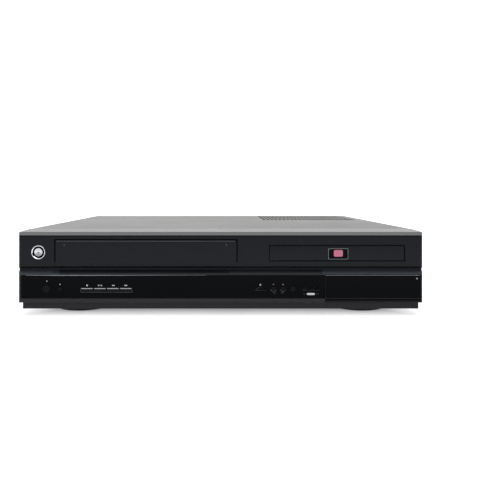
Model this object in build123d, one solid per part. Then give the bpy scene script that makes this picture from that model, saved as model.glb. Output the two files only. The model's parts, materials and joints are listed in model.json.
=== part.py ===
from build123d import *
import os
from math import asin, atan2, cos, degrees, pi, radians, sin, tan

# A disc and cassette player for a shelf. Millimetres; +X to the right, +Y to the back, +Z up.
# The origin is on the shelf, under the middle of the whole box. Depths marked "behind" are
# measured back from the plane of the front face.

# ---- overall sizes ----
total_width = 430.0
total_height = 91.5
total_depth = 360.0
front_proud = 1.2          # how far the standby ring stands in front of the face
rear_proud = 9.0           # how far the phono barrels stand out behind the rear panel

# ---- clearances ----
seam = 0.5                 # visible seam between fixed panels
sheet_gap = 0.2            # between nested sheet-metal flanges
key_gap = 0.3              # between a key and its hole
flap_gap = 0.5             # round the cassette door, tray front and socket door
run_gap = 0.4              # between sliding parts
spin_gap = 0.06            # radial, between a pin and its own bore
loose_gap = 0.3            # between curved faces that only pass each other
fuse = 0.1                 # how far a boss runs into what it is moulded with
over = 1.0                 # how far a cutting tool runs past the wall that it cuts

# ---- metal case ----
cover_inset = 2.0          # the cover is this much narrower on each side than the bezel
cover_wall = 0.8
cover_corner = 3.0
cover_lip = 11.0
screw_hole = 6.0
cover_foot_z = 10.5
pan_wall = 1.0
pan_z = 8.5
pan_flange = 15.0
pan_rib = 1.6
pan_rib_width = 12.0
pan_rib_corner = 4.8
pan_rib_space = (46.0, 47.0)  # under the cassette deck, and under the disc drive
pan_rib_behind = (76.0, 250.0)
rear_wall = 1.0
rear_top_gap = 0.6
vent_from_right = (152.0, 22.0)
vent_from_rear = (134.8, 4.8)
vent_rows = 3
vent_pitch = 5.9
vent_slot = 3.0
vent_bridge = 8.0

# ---- feet ----
foot_radius = 30.0
foot_from_side = 57.0
foot_edge = 1.5
foot_behind = 55.0
foot_taper = 1.5
foot_step = 2.2
pad_radius = 22.0
pad_stand = 0.6

# ---- front bezel ----
bezel_behind = 32.0
bezel_wall = 2.5
bezel_end_wall = 2.0
bezel_corner = 3.5
bezel_top_corner = 4.0
mouth_top = 3.5            # the bezel top, at its open rear
chamfer_drop = (1.6, 5.3)
chamfer_behind = 3.0
line_drop = 6.7
line_height = 0.9
line_deep = 0.7
waist_top_share = 0.6339   # heights on the face, as shares of the total height
waist_share = 0.553
waist_height = 1.2
waist_deep = 5.0
scoop_x = (-178.5, 9.0)
scoop_deep = 0.9
scoop_edge = 0.7
sill_lip = 0.9
bezel_foot_z = 14.6
bezel_foot_round = 2.4
bezel_foot_behind = 11.0
skirt_z = 7.6
skirt_deep = 5.0
skirt_side = 3.5
gloss_inset = 3.5
gloss_foot_z = 19.4
gloss_share = 0.4842
gloss_wall = 2.2
backing_wall = 2.5
display_gap = (13.9, 14.2)   # from the transport keys, and from the eject key
display_inset = (3.6, 2.8)
display_behind = 9.0
display_holder_inset = (4.0, 2.0)

# ---- socket door and its recess ----
socket_door_from_right = (104.1, 2.6)
socket_door_foot = 15.7
socket_door_step = 0.3
socket_door_wall = 2.6
socket_hinge_radius = 1.6
socket_pin_radius = 1.0
socket_pin_reach = 1.3
recess_behind = 26.0
recess_wall = 1.8

# ---- cassette door ----
tape_door_side = 2.3       # the door is this much wider than a cassette at each end
tape_door_share = (0.5814, 0.8842)
tape_door_wall = 2.2
tape_hinge_behind = 5.2
tape_hinge_rise = 2.4
tape_pin_radius = 1.2
tape_pin_reach = 2.6
tape_ear_wall = 2.4
tape_ear_half = 3.0
tape_lug_radius = 2.1
tape_lug_wall = 3.0
tape_arm_height = 2.5
tape_lug_clear = 6.0
margin_share = (0.42, 0.372)  # of the spare width: left of the door, and between door and tray

# ---- disc drive ----
tray_front_side = 6.6      # the tray front is this much wider than the tray at each end
tray_front_share = (0.647, 0.8262)
tray_front_wall = 3.0
tray_front_inset = 0.4
tray_front_edge = 0.8
tray_width = 130.0
tray_length = 181.0
tray_z = 61.0
tray_floor = 1.8
tray_rim_z = 67.0
tray_travel = 132.0
tray_hollow_side = 3.0
tray_hollow_end = 4.0
tray_pocket_x = (44.0, 58.0)
tray_pocket_ahead = (62.0, 44.0)
disc_behind = 70.0
disc_radius = 60.0
disc_play = 0.9
disc_seat_z = 64.6
small_disc_radius = 40.6
small_disc_deep = 0.9
hub_hole_radius = 20.0
sled_slot_x = 21.0
sled_slot_end = 63.0
rack_width = 3.0
rack_drop = 2.2
rack_inset = 2.0
drive_wall = 3.0
drive_z = (46.0, 72.0)
drive_front = 34.0
drive_tail = 19.6
drive_floor = 2.0
rail_wall = 4.0
rail_height = 2.0
keeper_behind = (40.0, 120.0, 160.0)
keeper_length = 10.0
bridge_width = 36.0
bridge_wall = 1.2
bridge_fold = 4.0
clamp_hole_radius = 13.0
clamp_body_radius = 11.5
clamp_flange_radius = 16.0
clamp_flange_wall = 1.6
clamp_foot_z = 69.5
clamp_crown = 1.0
clamp_crown_radius = 6.0
lift_height = 8.5
lift_pivot_inset = 14.0
lift_pivot_z = 57.0
lift_pin_radius = 2.0
lift_pin_reach = 3.5
lift_ear_wall = 3.0
lift_ear_half = 5.0
lift_ear_top = 3.0
lift_bar = (3.0, 4.0)
traverse_wall = 2.0
traverse_top_z = 60.0
traverse_x = 36.0
traverse_gap = 1.5
traverse_front = 48.0
floor_past = (8.0, 6.0)
motor_boss_drop = 5.0
motor_boss_rise = 0.5
turntable_z = 67.0
turntable_radius = 14.5
turntable_wall = 2.2
turntable_stem = 8.0
cone_radius = 7.3
cone_height = 1.8
cone_taper = 1.2
spindle_motor_radius = 12.5
spindle_motor_height = 5.6
sled_rod_x = 27.0
sled_rod_radius = 1.5
sled_rest = 26.0
sled_size = (34.0, 22.0)
sled_travel = 31.0
sled_rail_inset = 4.0
sled_arm = 3.5
sled_drop = 3.0
sled_rise = 1.2
lug_wall = 3.0
lug_past = 3.0
lug_drop = 2.5
lug_gap = 5.0
lug_behind = (8.0, 9.0)    # behind the disc centre, and behind the sled at its far end
lens_radius = 3.2
lens_house_radius = 5.5
lens_z = 65.2
lens_rim = 1.1
screw_radius = 1.4
screw_drop = 5.5
screw_inset = 6.0
screw_tail = 8.0
screw_wheel_radius = 4.0
gear_teeth = 18
gear_module = 1.0
gear_wall = 3.0
tooth_tip = 0.8            # times the module, outside the pitch line
tooth_root = 1.1           # times the module, inside the pitch line
tooth_slope = 20.0
tooth_play = 0.2
gear_post_radius = 1.5
gear_behind = 46.0
bracket_foot = 12.0
bracket_inset = (10.0, 8.0)
bracket_window_inset = 26.0
bracket_window_rise = 8.0

# ---- cassette deck ----
cassette_width = 187.0
deck_behind = (34.0, 264.0)
deck_z = 24.0
deck_wall = 1.2
deck_slot_half = 24.0
deck_slot_behind = (150.0, 172.0)
deck_window_x = (62.0, 88.0)
deck_window_behind = (60.0, 96.0)
deck_window_round = 5.0
frame_head = 6.3           # from the top of a side frame to the top of the player
frame_length = 146.0
frame_half = 97.2
frame_wall = 1.2
frame_foot = 6.0
frame_slot_ahead = 2.0
frame_window_behind = (18.0, 100.0)
frame_window_foot = 12.0
frame_window_drop = 15.0
slider_wall = 1.0
slider_behind = 42.0
slider_length = 70.0
slider_foot_z = 46.0
slider_head = 9.5
slider_bar = 10.0
slider_travel = 60.0
slider_pin_radius = 1.5
slider_pin_head = 12.5
slider_pin_inset = 6.0
holder_behind = 37.0
holder_length = 75.0
holder_wall = 1.0
holder_head = 10.3
holder_height = 28.8
holder_lip = 12.0
holder_rest_gap = 4.2      # between the lowered holder and the deck plate
holder_stop = 14.0
holder_stop_height = 19.2
holder_pin_radius = 1.4
holder_pin_drop = 7.2
holder_window_half = 56.0
holder_window_inset = 14.0
reel_spacing = 92.0
reel_behind = 112.0
reel_radius = 17.0
reel_flange_z = (26.0, 28.2)
reel_spindle_radius = 7.0
reel_spindle_top = 40.0
reel_fins = 3
reel_fin_half = 1.0
reel_fin_root = 2.5
reel_fin_reach = 1.6
reel_hub_radius = 10.0
reel_hub_rise = 1.5
reel_nose = 3.0
reel_shoulder = 4.0
reel_post_radius = 1.5
drum_behind = 214.0
drum_radius = 31.0
drum_tilt = 5.5
drum_part_z = 46.0
drum_gap = 0.4
drum_base_height = 16.5
drum_rotor_height = 15.0
drum_cap_radius = 9.0
drum_cap_rise = 1.5
drum_edge = 1.0
drum_dish = (6.0, 4.0)
drum_dish_deep = 3.0
drum_foot_radius = 35.0
drum_foot_z = 31.0
capstan_x = 58.0
capstan_behind = 190.0
capstan_radius = 1.5
capstan_top = 60.0
flywheel_radius = 24.0
flywheel_z = (13.4, 20.8)
flywheel_dish_radius = 8.0
flywheel_dish = 2.0
flywheel_hub = 1.5
stator_half = 25.0
stator_wall = 1.6
bush_radius = 4.5
bush_top = 33.0
pinch_roller_radius = 6.5
pinch_roller_z = (41.0, 56.0)
pinch_pivot = (24.0, 14.0)
pinch_arm_wall = 3.0
pinch_arm_z = 37.0
pinch_arm_radius = 4.5
pinch_arm_taper = 1.0
roller_post_radius = 1.4
pinch_post_top = 3.0
pinch_post_radius = 2.0
pinch_turn = 20.0

# ---- keys ----
key_travel = 0.8
key_flange = 1.2
key_flange_wall = 1.0
switch_play = 0.1          # left between a pressed key's stem and its switch
switch_body = 2.8
switch_plunger = 1.5
stem_size = (3.0, 2.0)
switch_half = 3.0
plunger_half = 1.4
standby_share = (0.5477, 0.7475)  # of the left margin, and of the total height
ring_radius = 7.6
ring_barrel = 7.0
ring_hole = 6.1
ring_edge = 0.5
ring_reach = 6.5
standby_radius = 5.1
standby_dish = 0.2
standby_crown = 0.6
standby_edge = 0.8
mode_from_left = 30.7
mode_z = 29.7
mode_radius = 4.0
setup_from_left = 44.7
setup_z = 29.4
setup_radius = 2.0
transport_from_left = 67.0
transport_z = 28.8
transport_width = 12.7
transport_space = 1.1
transport_height = 2.8
eject_from_door = 68.7     # keys at the right, from the left end of the socket door
eject_width = 11.6
arc_height = 3.4
arc_z = 27.8
channel_from_door = (54.9, 44.7)
channel_z = 29.8
channel_radius = 2.0
source_from_door = 34.2
source_z = 29.4
source_radius = 2.8
dub_from_door = (19.9, 10.5)
dub_width = 9.0
key_proud = {"mode_button": 0.9, "setup_button": 0.5, "eject_key": 0.7, "channel_down_key": 0.6,
             "channel_up_key": 0.6, "source_key": 0.7, "tape_dub_key": 0.7, "disc_dub_key": 0.7}
transport_proud = 1.0

# ---- boards and power ----
board_wall = 1.6
board_z = 13.5
boss_radius = 3.5
deck_boss_radius = 4.5
board_post_inset = 8.0
deck_post_inset = 12.0
board_boss_inset = 8.0
board_boss_ahead = 8.0
front_board_behind = 13.5
front_board_inset = (10.0, 5.9)
front_board_past = (0.9, 1.2)
main_board_inset = 11.0
main_board_past = 26.0     # past the right side frame of the deck
main_board_gap = 6.0
board_rear_gap = 7.8
chips = ((-40.8, 22.0, 2.4), (9.2, 28.0, 2.8), (59.2, 16.0, 2.2), (99.2, 12.0, 6.0))
chip_row = 15.0            # from the front edge of the main board to the middle of its chips
tuner_x = -85.8
tuner_from_rear = 33.0
tuner_size = 30.0
tuner_height = 16.0
power_board_left = 61.6
power_board_inset = 10.0
power_board_gap = 16.0
transformer_size = (42.0, 36.0, 30.0)
transformer_place = (58.0, 34.0)
core_inset = 8.0
core_limb = 7.0
core_base = 3.0
core_roof = 4.0
bobbin_round = 3.0
sink_size = (46.0, 3.0, 38.0)
sink_place = (6.0, 34.0)
sink_fins = 5
sink_fin_reach = 14.0
cap_sizes = ((8.0, 30.0), (8.0, 30.0), (5.0, 20.0), (5.0, 20.0), (4.0, 14.0))
cap_space = 19.0
cap_place = (20.0, 16.0)
cap_roll = 0.8

# ---- sockets ----
phono_pitch = 21.0
phono_barrel = 4.15
phono_neck = 3.8
phono_bore = 3.3
phono_pin_bore = 1.6
phono_sleeve = 0.8
phono_well = 2.0
phono_house = 12.4
phono_house_deep = 13.0
phono_rows_z = (30.0, 46.0, 62.0)
phono_from_left = 65.0
phono_rear_columns = 6
aerial_from_left = (29.0, 45.0)
aerial_z = 46.0
aerial_radius = 4.7
aerial_neck = 4.3
aerial_bore = 2.4
aerial_proud = 8.0
aerial_house = (30.0, 14.0, 26.0)
aerial_leg_gap = 2.0
front_phono_first = 29.1
front_phono_pitch = 18.0
front_phono_flange = 1.2
front_phono_brim = 1.8
front_phono_z = 30.0
front_phono_reach = 9.0
inlet_from_right = 37.0
inlet_z = 32.0
inlet_size = (24.0, 18.0)
inlet_deep = 16.0
inlet_rim = 2.0
inlet_rim_wall = 1.5
inlet_leg_inset = 3.0
inlet_leg_deep = 8.0
inlet_mouth = (17.0, 8.6)
inlet_mouth_deep = 12.0
inlet_pin_radius = 1.15
inlet_pin_space = 8.6
screw_head_radius = 3.4
screw_head_wall = 1.3
screw_shank_radius = 1.5
side_shank = 4.0
rear_shank = 5.0
side_screw_z = 17.0
side_screw_front = 120.0
side_screw_rear = 49.8
rear_screw_from_side = 20.0

# ---- places worked out from the sizes above ----
front_y = -total_depth / 2 + front_proud
rear_y = total_depth / 2 - rear_proud
inner_depth = rear_y - front_y
cover_front_y = front_y + bezel_behind + seam
half_width = total_width / 2
half_cover = half_width - cover_inset
cover_inner = half_cover - cover_wall
pan_half = cover_inner - sheet_gap
pan_top = pan_z + pan_wall
rear_inner_y = rear_y - rear_wall
foot_inset_x = half_width - foot_from_side
vent_x = (half_width - vent_from_right[0], half_width - vent_from_right[1])
vent_behind = (inner_depth - vent_from_rear[0], inner_depth - vent_from_rear[1])
side_screw_behind = (side_screw_front, inner_depth - side_screw_rear)
rear_screw_x = (rear_screw_from_side - half_width, 0, half_width - rear_screw_from_side)

chamfer_top_z = total_height - chamfer_drop[0]
chamfer_foot_z = total_height - chamfer_drop[1]
line_z = total_height - line_drop
waist_top_z = waist_top_share * total_height
waist_z = waist_share * total_height
gloss_z = (gloss_foot_z, gloss_share * total_height)
gloss_left = gloss_inset - half_width
sill_z = gloss_z[1]
backing_behind = gloss_wall + backing_wall
socket_door_x = (half_width - socket_door_from_right[0], half_width - socket_door_from_right[1])
socket_door_z = (socket_door_foot, gloss_z[1] + loose_gap)

tape_door_width = cassette_width + 2 * tape_door_side
tray_front_width = tray_width + 2 * tray_front_side
spare_width = total_width - tape_door_width - tray_front_width
left_margin = margin_share[0] * spare_width
tape_door_left = left_margin - half_width
tape_door_x = (tape_door_left, tape_door_left + tape_door_width)
tape_door_z = (tape_door_share[0] * total_height, tape_door_share[1] * total_height)
tape_hinge_z = tape_door_z[1] + tape_hinge_rise
tape_x = tape_door_left + tape_door_width / 2
tray_front_left = tape_door_x[1] + margin_share[1] * spare_width
tray_front_x = (tray_front_left, tray_front_left + tray_front_width)
tray_front_z = (tray_front_share[0] * total_height, tray_front_share[1] * total_height)
disc_x = tray_front_left + tray_front_width / 2

transport_x = transport_from_left - half_width
transport_end = transport_x + 4 * transport_width + 3 * transport_space
mode_x = mode_from_left - half_width
setup_x = setup_from_left - half_width
standby_x = standby_share[0] * left_margin - half_width
standby_z = standby_share[1] * total_height
eject_x = socket_door_x[0] - eject_from_door
channel_x = (socket_door_x[0] - channel_from_door[0], socket_door_x[0] - channel_from_door[1])
source_x = socket_door_x[0] - source_from_door
dub_x = (socket_door_x[0] - dub_from_door[0], socket_door_x[0] - dub_from_door[1])
display_x = (transport_end + display_gap[0], eject_x - display_gap[1])
display_z = (gloss_z[0] + display_inset[0], gloss_z[1] - display_inset[1])
flange_behind = backing_behind + sheet_gap
switch_behind = front_board_behind - switch_body - switch_plunger

tray_half = tray_width / 2
tray_back = tray_front_inset + tray_front_wall
drive_half = tray_half + run_gap + drive_wall
drive_behind = (drive_front, tray_back + tray_length + drive_tail)
lift_pivot_behind = drive_behind[1] - lift_pivot_inset
lift_angle = degrees(asin(lift_height / (lift_pivot_behind - disc_behind)))
gear_radius = gear_module * gear_teeth / 2
tooth_pitch = pi * gear_module

deck_top = deck_z + deck_wall
frame_top_z = total_height - frame_head
holder_z = (total_height - holder_head - holder_height, total_height - holder_head)
holder_drop = holder_z[0] - deck_top - holder_rest_gap
holder_pin_z = holder_z[1] - holder_pin_drop
holder_half = cassette_width / 2 + run_gap
slider_half = holder_half + holder_wall + run_gap
slider_z = (slider_foot_z, total_height - slider_head)
slider_pin_z = total_height - slider_pin_head

front_board_x = (front_board_inset[0] - half_width, socket_door_x[0] - front_board_inset[1])
front_board_z = (gloss_z[0] - front_board_past[0], gloss_z[1] + front_board_past[1])
main_board_x = (main_board_inset - half_width, tape_x + frame_half + main_board_past)
main_board_behind = (deck_behind[1] + main_board_gap, inner_depth - board_rear_gap)
power_board_x = (disc_x - power_board_left, half_width - power_board_inset)
power_board_behind = (drive_behind[1] + power_board_gap, inner_depth - board_rear_gap)
board_top = board_z + board_wall
phono_rear_x = phono_from_left - half_width
aerial_x = (aerial_from_left[0] - half_width, aerial_from_left[1] - half_width)
front_phono_left = socket_door_x[0] + front_phono_first
front_phono_x = (front_phono_left, front_phono_left + front_phono_pitch,
                 front_phono_left + 2 * front_phono_pitch)
inlet_x = half_width - inlet_from_right
TURN = {"X": Rot(0, 90, 0), "Y": Rot(-90, 0, 0), "Z": Rot(0, 0, 0)}


def behind(depth):
    """Y of a point that lies this far back from the front face."""
    return front_y + depth


def block(x, y, z):
    """Box between two ends on each axis."""
    size = [abs(ends[1] - ends[0]) for ends in (x, y, z)]
    middle = [(ends[0] + ends[1]) / 2 for ends in (x, y, z)]
    return Pos(*middle) * Box(*size)


def deep(x, depths, z):
    """Box whose Y ends are given as depths behind the front face."""
    return block(x, (behind(depths[0]), behind(depths[1])), z)


def rod(start, radius, length, axis="Z"):
    """Cylinder from a start point along an axis."""
    turned = TURN[axis] * Cylinder(radius, length, align=(Align.CENTER, Align.CENTER, Align.MIN))
    return Pos(*start) * turned


def tube(start, radius, bore, length, axis="Z"):
    """Cylinder with a bore right through."""
    return rod(start, radius, length, axis) - rod(start, bore, length, axis)


def along_x(outline, x0, x1):
    """Solid of an outline drawn in (behind, Z), from x0 to x1."""
    return extrude(Plane((x0, front_y, 0), x_dir=(0, 1, 0), z_dir=(1, 0, 0)) * outline, x1 - x0)


def along_y(outline, depth0, depth1):
    """Solid of an outline drawn in (X, Z), between two depths behind the front face."""
    plane = Plane((0, behind(depth1), 0), x_dir=(1, 0, 0), z_dir=(0, -1, 0))
    return extrude(plane * outline, depth1 - depth0)


def spun(points, x, y, base=0.0):
    """Solid of revolution about a vertical line, from (radius, z) points."""
    face = make_face(Polyline(*[(r, z) for r, z in points], close=True))
    return Pos(x, y, base) * revolve(Plane.XZ * face, Axis.Z)


def dropped(shape):
    """A piece of the traverse, drawn in its play position and let down to rest."""
    pivot = Pos(disc_x, behind(lift_pivot_behind), lift_pivot_z)
    return pivot * Rot(lift_angle, 0, 0) * pivot.inverse() * shape


def save(name, shape):
    """Write one node."""
    export_step(shape, f"parts/{name}.step")


def group(*shapes):
    """Several separate solids as one node."""
    return Compound(children=[solid for shape in shapes for solid in shape.solids()])


# ---- bezel ----
def bezel_outline():
    """Closed outline of the bezel's side view, as (behind, Z)."""
    top = Polyline((bezel_behind, total_height), (chamfer_behind, chamfer_top_z),
                   (0, chamfer_foot_z), (0, waist_top_z))
    roll = TangentArc((0, waist_top_z), (waist_deep, waist_z), tangent=(0, -1))
    sill = Polyline((waist_deep, waist_z), (waist_deep, waist_z - waist_height),
                    (sill_lip, sill_z + sill_lip), (0, sill_z), (0, bezel_foot_z + bezel_foot_round))
    foot = TangentArc((0, bezel_foot_z + bezel_foot_round), (bezel_foot_round, bezel_foot_z),
                      tangent=(0, -1))
    back = Polyline((bezel_foot_round, bezel_foot_z), (bezel_behind, bezel_foot_z),
                    (bezel_behind, total_height))
    return make_face(top + roll + sill + foot + back)


def bezel_block(inset=0.0):
    """Solid block with the bezel's outside, or set in by a wall."""
    outline = bezel_outline()
    if inset:
        outline = offset(outline, -inset, kind=Kind.ARC)
    return along_x(outline, -half_width + inset, half_width - inset)


def rounded_bezel():
    """The bezel's outside with its corners rounded in plan and from the front."""
    length = 2 * bezel_behind
    plan = RectangleRounded(total_width, length, bezel_corner)
    plan_solid = extrude(Pos(0, behind(bezel_behind), 0) * plan, total_height + over)
    height = 2 * total_height
    face = RectangleRounded(total_width, height, bezel_top_corner)
    face_solid = along_y(face, 0, bezel_behind)
    return bezel_block() & plan_solid & face_solid


def scoop():
    """Shallow finger scoop in the sloped band under the cassette door."""
    low = Vector(sill_lip, sill_z + sill_lip)
    high = Vector(waist_deep, waist_z - waist_height)
    middle = (low + high) / 2
    slope = high - low
    angle = degrees(atan2(slope.Y, slope.X))
    outline = Rectangle(slope.length - 2 * scoop_edge, 2 * scoop_deep)
    return along_x(Pos(middle.X, middle.Y) * Rot(0, 0, angle) * outline, *scoop_x)


def key_pocket(outline):
    """Hole for one key, larger than the key all round."""
    return along_y(offset(outline, key_gap), -over, backing_behind + over)


def arc_key(x, width):
    """Key outline with a flat foot and an arched top, as (X, Z)."""
    left = (x - width / 2, arc_z)
    right = (x + width / 2, arc_z)
    side = arc_height / 3
    base = Polyline((left[0], left[1] + side), left, right, (right[0], right[1] + side))
    arch = ThreePointArc(base @ 1, (x, arc_z + arc_height), base @ 0)
    return make_face(base + arch)


def key_outlines():
    """Outline of every key in the gloss panel, as (X, Z)."""
    keys = {"mode_button": Pos(mode_x, mode_z) * Circle(mode_radius),
            "setup_button": Pos(setup_x, setup_z) * Circle(setup_radius)}
    for index, name in enumerate(("stop_key", "play_key", "rewind_key", "forward_key")):
        middle = transport_x + transport_width / 2 + index * (transport_width + transport_space)
        keys[name] = Pos(middle, transport_z) * Rectangle(transport_width, transport_height)
    keys["eject_key"] = arc_key(eject_x, eject_width)
    keys["channel_down_key"] = Pos(channel_x[0], channel_z) * Circle(channel_radius)
    keys["channel_up_key"] = Pos(channel_x[1], channel_z) * Circle(channel_radius)
    keys["source_key"] = Pos(source_x, source_z) * Circle(source_radius)
    keys["tape_dub_key"] = arc_key(dub_x[0], dub_width)
    keys["disc_dub_key"] = arc_key(dub_x[1], dub_width)
    return keys


def pockets():
    """All key holes as one tool; the four transport keys share one slot."""
    keys = key_outlines()
    slot_width = transport_end - transport_x
    slot = Pos(transport_x + slot_width / 2, transport_z) * Rectangle(slot_width, transport_height)
    singles = [outline for name, outline in keys.items() if name in key_proud]
    return [key_pocket(outline) for outline in singles + [slot]]


def front_fascia():
    """Moulded bezel: one shell with its apertures, socket recess, hinge ears and skirt."""
    inner = bezel_block(bezel_wall)
    mouth = deep((-half_width + bezel_end_wall, half_width - bezel_end_wall),
                 (waist_deep + 2 * bezel_wall, bezel_behind + over),
                 (bezel_foot_z - over, total_height - mouth_top))
    shell = rounded_bezel() - inner - mouth
    # ledge under the shell, kept short so that the pan passes behind it
    ledge = deep((-half_width + bezel_end_wall, half_width - bezel_end_wall),
                 (bezel_foot_round, bezel_foot_behind), (bezel_foot_z, bezel_foot_z + bezel_wall))
    backing = deep((gloss_left - seam / 2, socket_door_x[0] - seam), (gloss_wall, backing_behind),
                   (gloss_z[0] - bezel_wall, gloss_z[1] + bezel_wall))
    border = deep((socket_door_x[0] - 2 * bezel_wall, socket_door_x[0] - flap_gap),
                  (bezel_wall / 2, waist_deep + bezel_wall), (bezel_foot_z, gloss_z[1]))
    shell = shell + ledge + backing + border
    # skirt, set back under the shell on the front and both sides
    skirt_half = half_width - skirt_side
    outside = deep((-skirt_half, skirt_half), (skirt_deep, bezel_behind), (skirt_z, bezel_foot_z + over))
    inside = deep((-skirt_half + bezel_end_wall, skirt_half - bezel_end_wall),
                  (skirt_deep + bezel_wall, bezel_behind + over), (skirt_z - over, bezel_foot_z + 2 * over))
    shell = shell + (outside - inside)
    shell -= scoop()
    # shadow line under the chamfer
    shell -= deep((-half_width - over, half_width + over), (-over, line_deep), (line_z, line_z + line_height))
    # pocket for the gloss panel, with its keys and display window
    shell -= deep((gloss_left, socket_door_x[0] - flap_gap), (-over, gloss_wall), gloss_z)
    shell -= deep(display_x, (0, bezel_behind / 2), display_z)
    # cassette and disc apertures
    shell -= deep((tape_door_x[0] - flap_gap, tape_door_x[1] + flap_gap), (-over, bezel_behind / 2),
                  (tape_door_z[0] - flap_gap, tape_door_z[1] + flap_gap))
    shell -= deep((tray_front_x[0] - flap_gap, tray_front_x[1] + flap_gap), (-over, bezel_behind / 2),
                  (tray_front_z[0] - flap_gap, tray_front_z[1] + flap_gap))
    # socket recess: a tub behind the flip-down door
    tub_x = (socket_door_x[0] - flap_gap - recess_wall, half_width - bezel_end_wall / 2)
    tub_z = (bezel_foot_z, socket_door_z[1] + recess_wall)
    shell += deep(tub_x, (socket_door_wall, recess_behind), tub_z)
    shell -= deep((socket_door_x[0] + recess_wall / 2, socket_door_x[1] - recess_wall / 2),
                  (-over, recess_behind - recess_wall),
                  (socket_door_z[0] + recess_wall, socket_door_z[1] - recess_wall / 2))
    shell -= deep((socket_door_x[0] - flap_gap, socket_door_x[1] + flap_gap),
                  (-over, 2 * socket_hinge_radius + loose_gap),
                  (socket_door_z[0] - loose_gap, socket_door_z[1] + loose_gap))
    for x in front_phono_x:
        start = (x, behind(recess_behind - recess_wall - over), front_phono_z)
        shell -= rod(start, phono_barrel + loose_gap, recess_wall + 2 * over, "Y")
    shell -= rod((socket_door_x[0] - flap_gap - socket_pin_reach, *socket_axis()),
                 socket_pin_radius + spin_gap,
                 socket_door_x[1] - socket_door_x[0] + 2 * (flap_gap + socket_pin_reach), "X")
    # ears that hold the cassette door's pins
    for side in (-1, 1):
        edge = tape_door_x[0] if side < 0 else tape_door_x[1]
        near = edge + side * flap_gap
        ear = deep((near, near + side * tape_ear_wall), (bezel_wall / 2, tape_hinge_behind + tape_ear_half),
                   (tape_hinge_z - tape_ear_half, tape_hinge_z + tape_ear_half))
        shell += ear
    shell -= rod((tape_door_x[0] - flap_gap - tape_ear_wall, *tape_axis()),
                 tape_pin_radius + spin_gap,
                 tape_door_x[1] - tape_door_x[0] + 2 * (flap_gap + tape_ear_wall), "X")
    # standby barrel hole and key holes
    shell -= rod((standby_x, behind(-over), standby_z), ring_barrel + spin_gap, ring_reach + 2 * over, "Y")
    for pocket in pockets():
        shell -= pocket
    # bosses that carry the front board
    for x in front_board_screws():
        start = (x, behind(backing_behind - fuse), front_boss_z())
        shell += rod(start, boss_radius, front_board_behind - backing_behind + fuse, "Y")
    return shell


def front_board_screws():
    """X of the front board's two bosses, clear of the keys and the display."""
    return front_board_x[0] + board_boss_inset, display_x[0] - board_boss_ahead


def front_boss_z():
    """Z of the bosses that carry the front board."""
    return front_board_z[1] - 2 * boss_radius


def socket_axis():
    """Y and Z of the socket door's hinge."""
    return behind(socket_hinge_radius), socket_door_z[0] + socket_hinge_radius


def tape_axis():
    """Y and Z of the cassette door's hinge."""
    return behind(tape_hinge_behind), tape_hinge_z


def gloss_panel():
    """Acrylic panel in the bezel's pocket, with a hole for each key."""
    panel = deep((gloss_left + sheet_gap, socket_door_x[0] - flap_gap - sheet_gap), (0, gloss_wall),
                 (gloss_z[0] + sheet_gap, gloss_z[1] - sheet_gap))
    for pocket in pockets():
        panel -= pocket
    return panel


def key(outline, proud, reach_z=key_flange):
    """Key cap with a retaining flange and a stem that meets its switch."""
    cap = along_y(outline, -proud, flange_behind)
    centre = cap.center()
    size = cap.bounding_box().size
    flange = deep((centre.X - size.X / 2, centre.X + size.X / 2),
                  (flange_behind, flange_behind + key_flange_wall),
                  (centre.Z - size.Z / 2 - reach_z, centre.Z + size.Z / 2 + reach_z))
    stem = deep((centre.X - stem_size[0] / 2, centre.X + stem_size[0] / 2),
                (flange_behind, switch_behind - key_travel - switch_play),
                (centre.Z - stem_size[1] / 2, centre.Z + stem_size[1] / 2))
    return cap + flange + stem


def front_keys():
    """The keys of the gloss panel, by node name."""
    return {name: key(outline, key_proud.get(name, transport_proud))
            for name, outline in key_outlines().items()}


def standby_ring():
    """Turned ring with a domed face, pushed into the bezel."""
    points = [(ring_hole, -front_proud / 2), (ring_hole + ring_edge, -front_proud),
              (ring_radius - ring_edge, -front_proud), (ring_radius, -front_proud / 4), (ring_radius, 0),
              (ring_barrel, 0), (ring_barrel, ring_reach), (ring_hole, ring_reach)]
    face = make_face(Polyline(*points, close=True))
    ring = revolve(face, Axis.Y)
    return Pos(standby_x, front_y, standby_z) * ring


def standby_button():
    """Round button with a slightly dished face, inside the ring."""
    collar = ring_reach + sheet_gap
    points = [(0, -standby_dish), (standby_radius - standby_edge, -standby_crown), (standby_radius, 0),
              (standby_radius, collar), (ring_barrel, collar), (ring_barrel, collar + key_flange_wall),
              (0, collar + key_flange_wall)]
    return Pos(standby_x, front_y, standby_z) * revolve(make_face(Polyline(*points, close=True)), Axis.Y)


def tape_door():
    """Cassette door: a curved flap cut from the bezel's own outline, with two hinge lugs."""
    shell = bezel_block() - bezel_block(tape_door_wall)
    flap = shell & deep(tape_door_x, (-over, waist_deep + over), tape_door_z)
    axis_y, axis_z = tape_axis()
    for x0 in (tape_door_x[0], tape_door_x[1] - tape_lug_wall):
        lug = rod((x0, axis_y, axis_z), tape_lug_radius, tape_lug_wall, "X")
        arm = block((x0, x0 + tape_lug_wall), (behind(tape_door_wall / 2), axis_y + tape_lug_radius),
                    (tape_door_z[1] - tape_arm_height, tape_door_z[1]))
        neck = block((x0, x0 + tape_lug_wall), (axis_y - tape_lug_radius, axis_y + tape_lug_radius),
                     (tape_door_z[1] - tape_arm_height, axis_z))
        flap = flap + lug + arm + neck
    length = tape_door_x[1] - tape_door_x[0] + 2 * tape_pin_reach
    return flap + rod((tape_door_x[0] - tape_pin_reach, axis_y, axis_z), tape_pin_radius, length, "X") \
        - deep((tape_door_x[0] + tape_lug_wall, tape_door_x[1] - tape_lug_wall),
               (tape_door_wall + fuse, bezel_behind), (tape_door_z[1] - tape_lug_clear, total_height))


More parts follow.
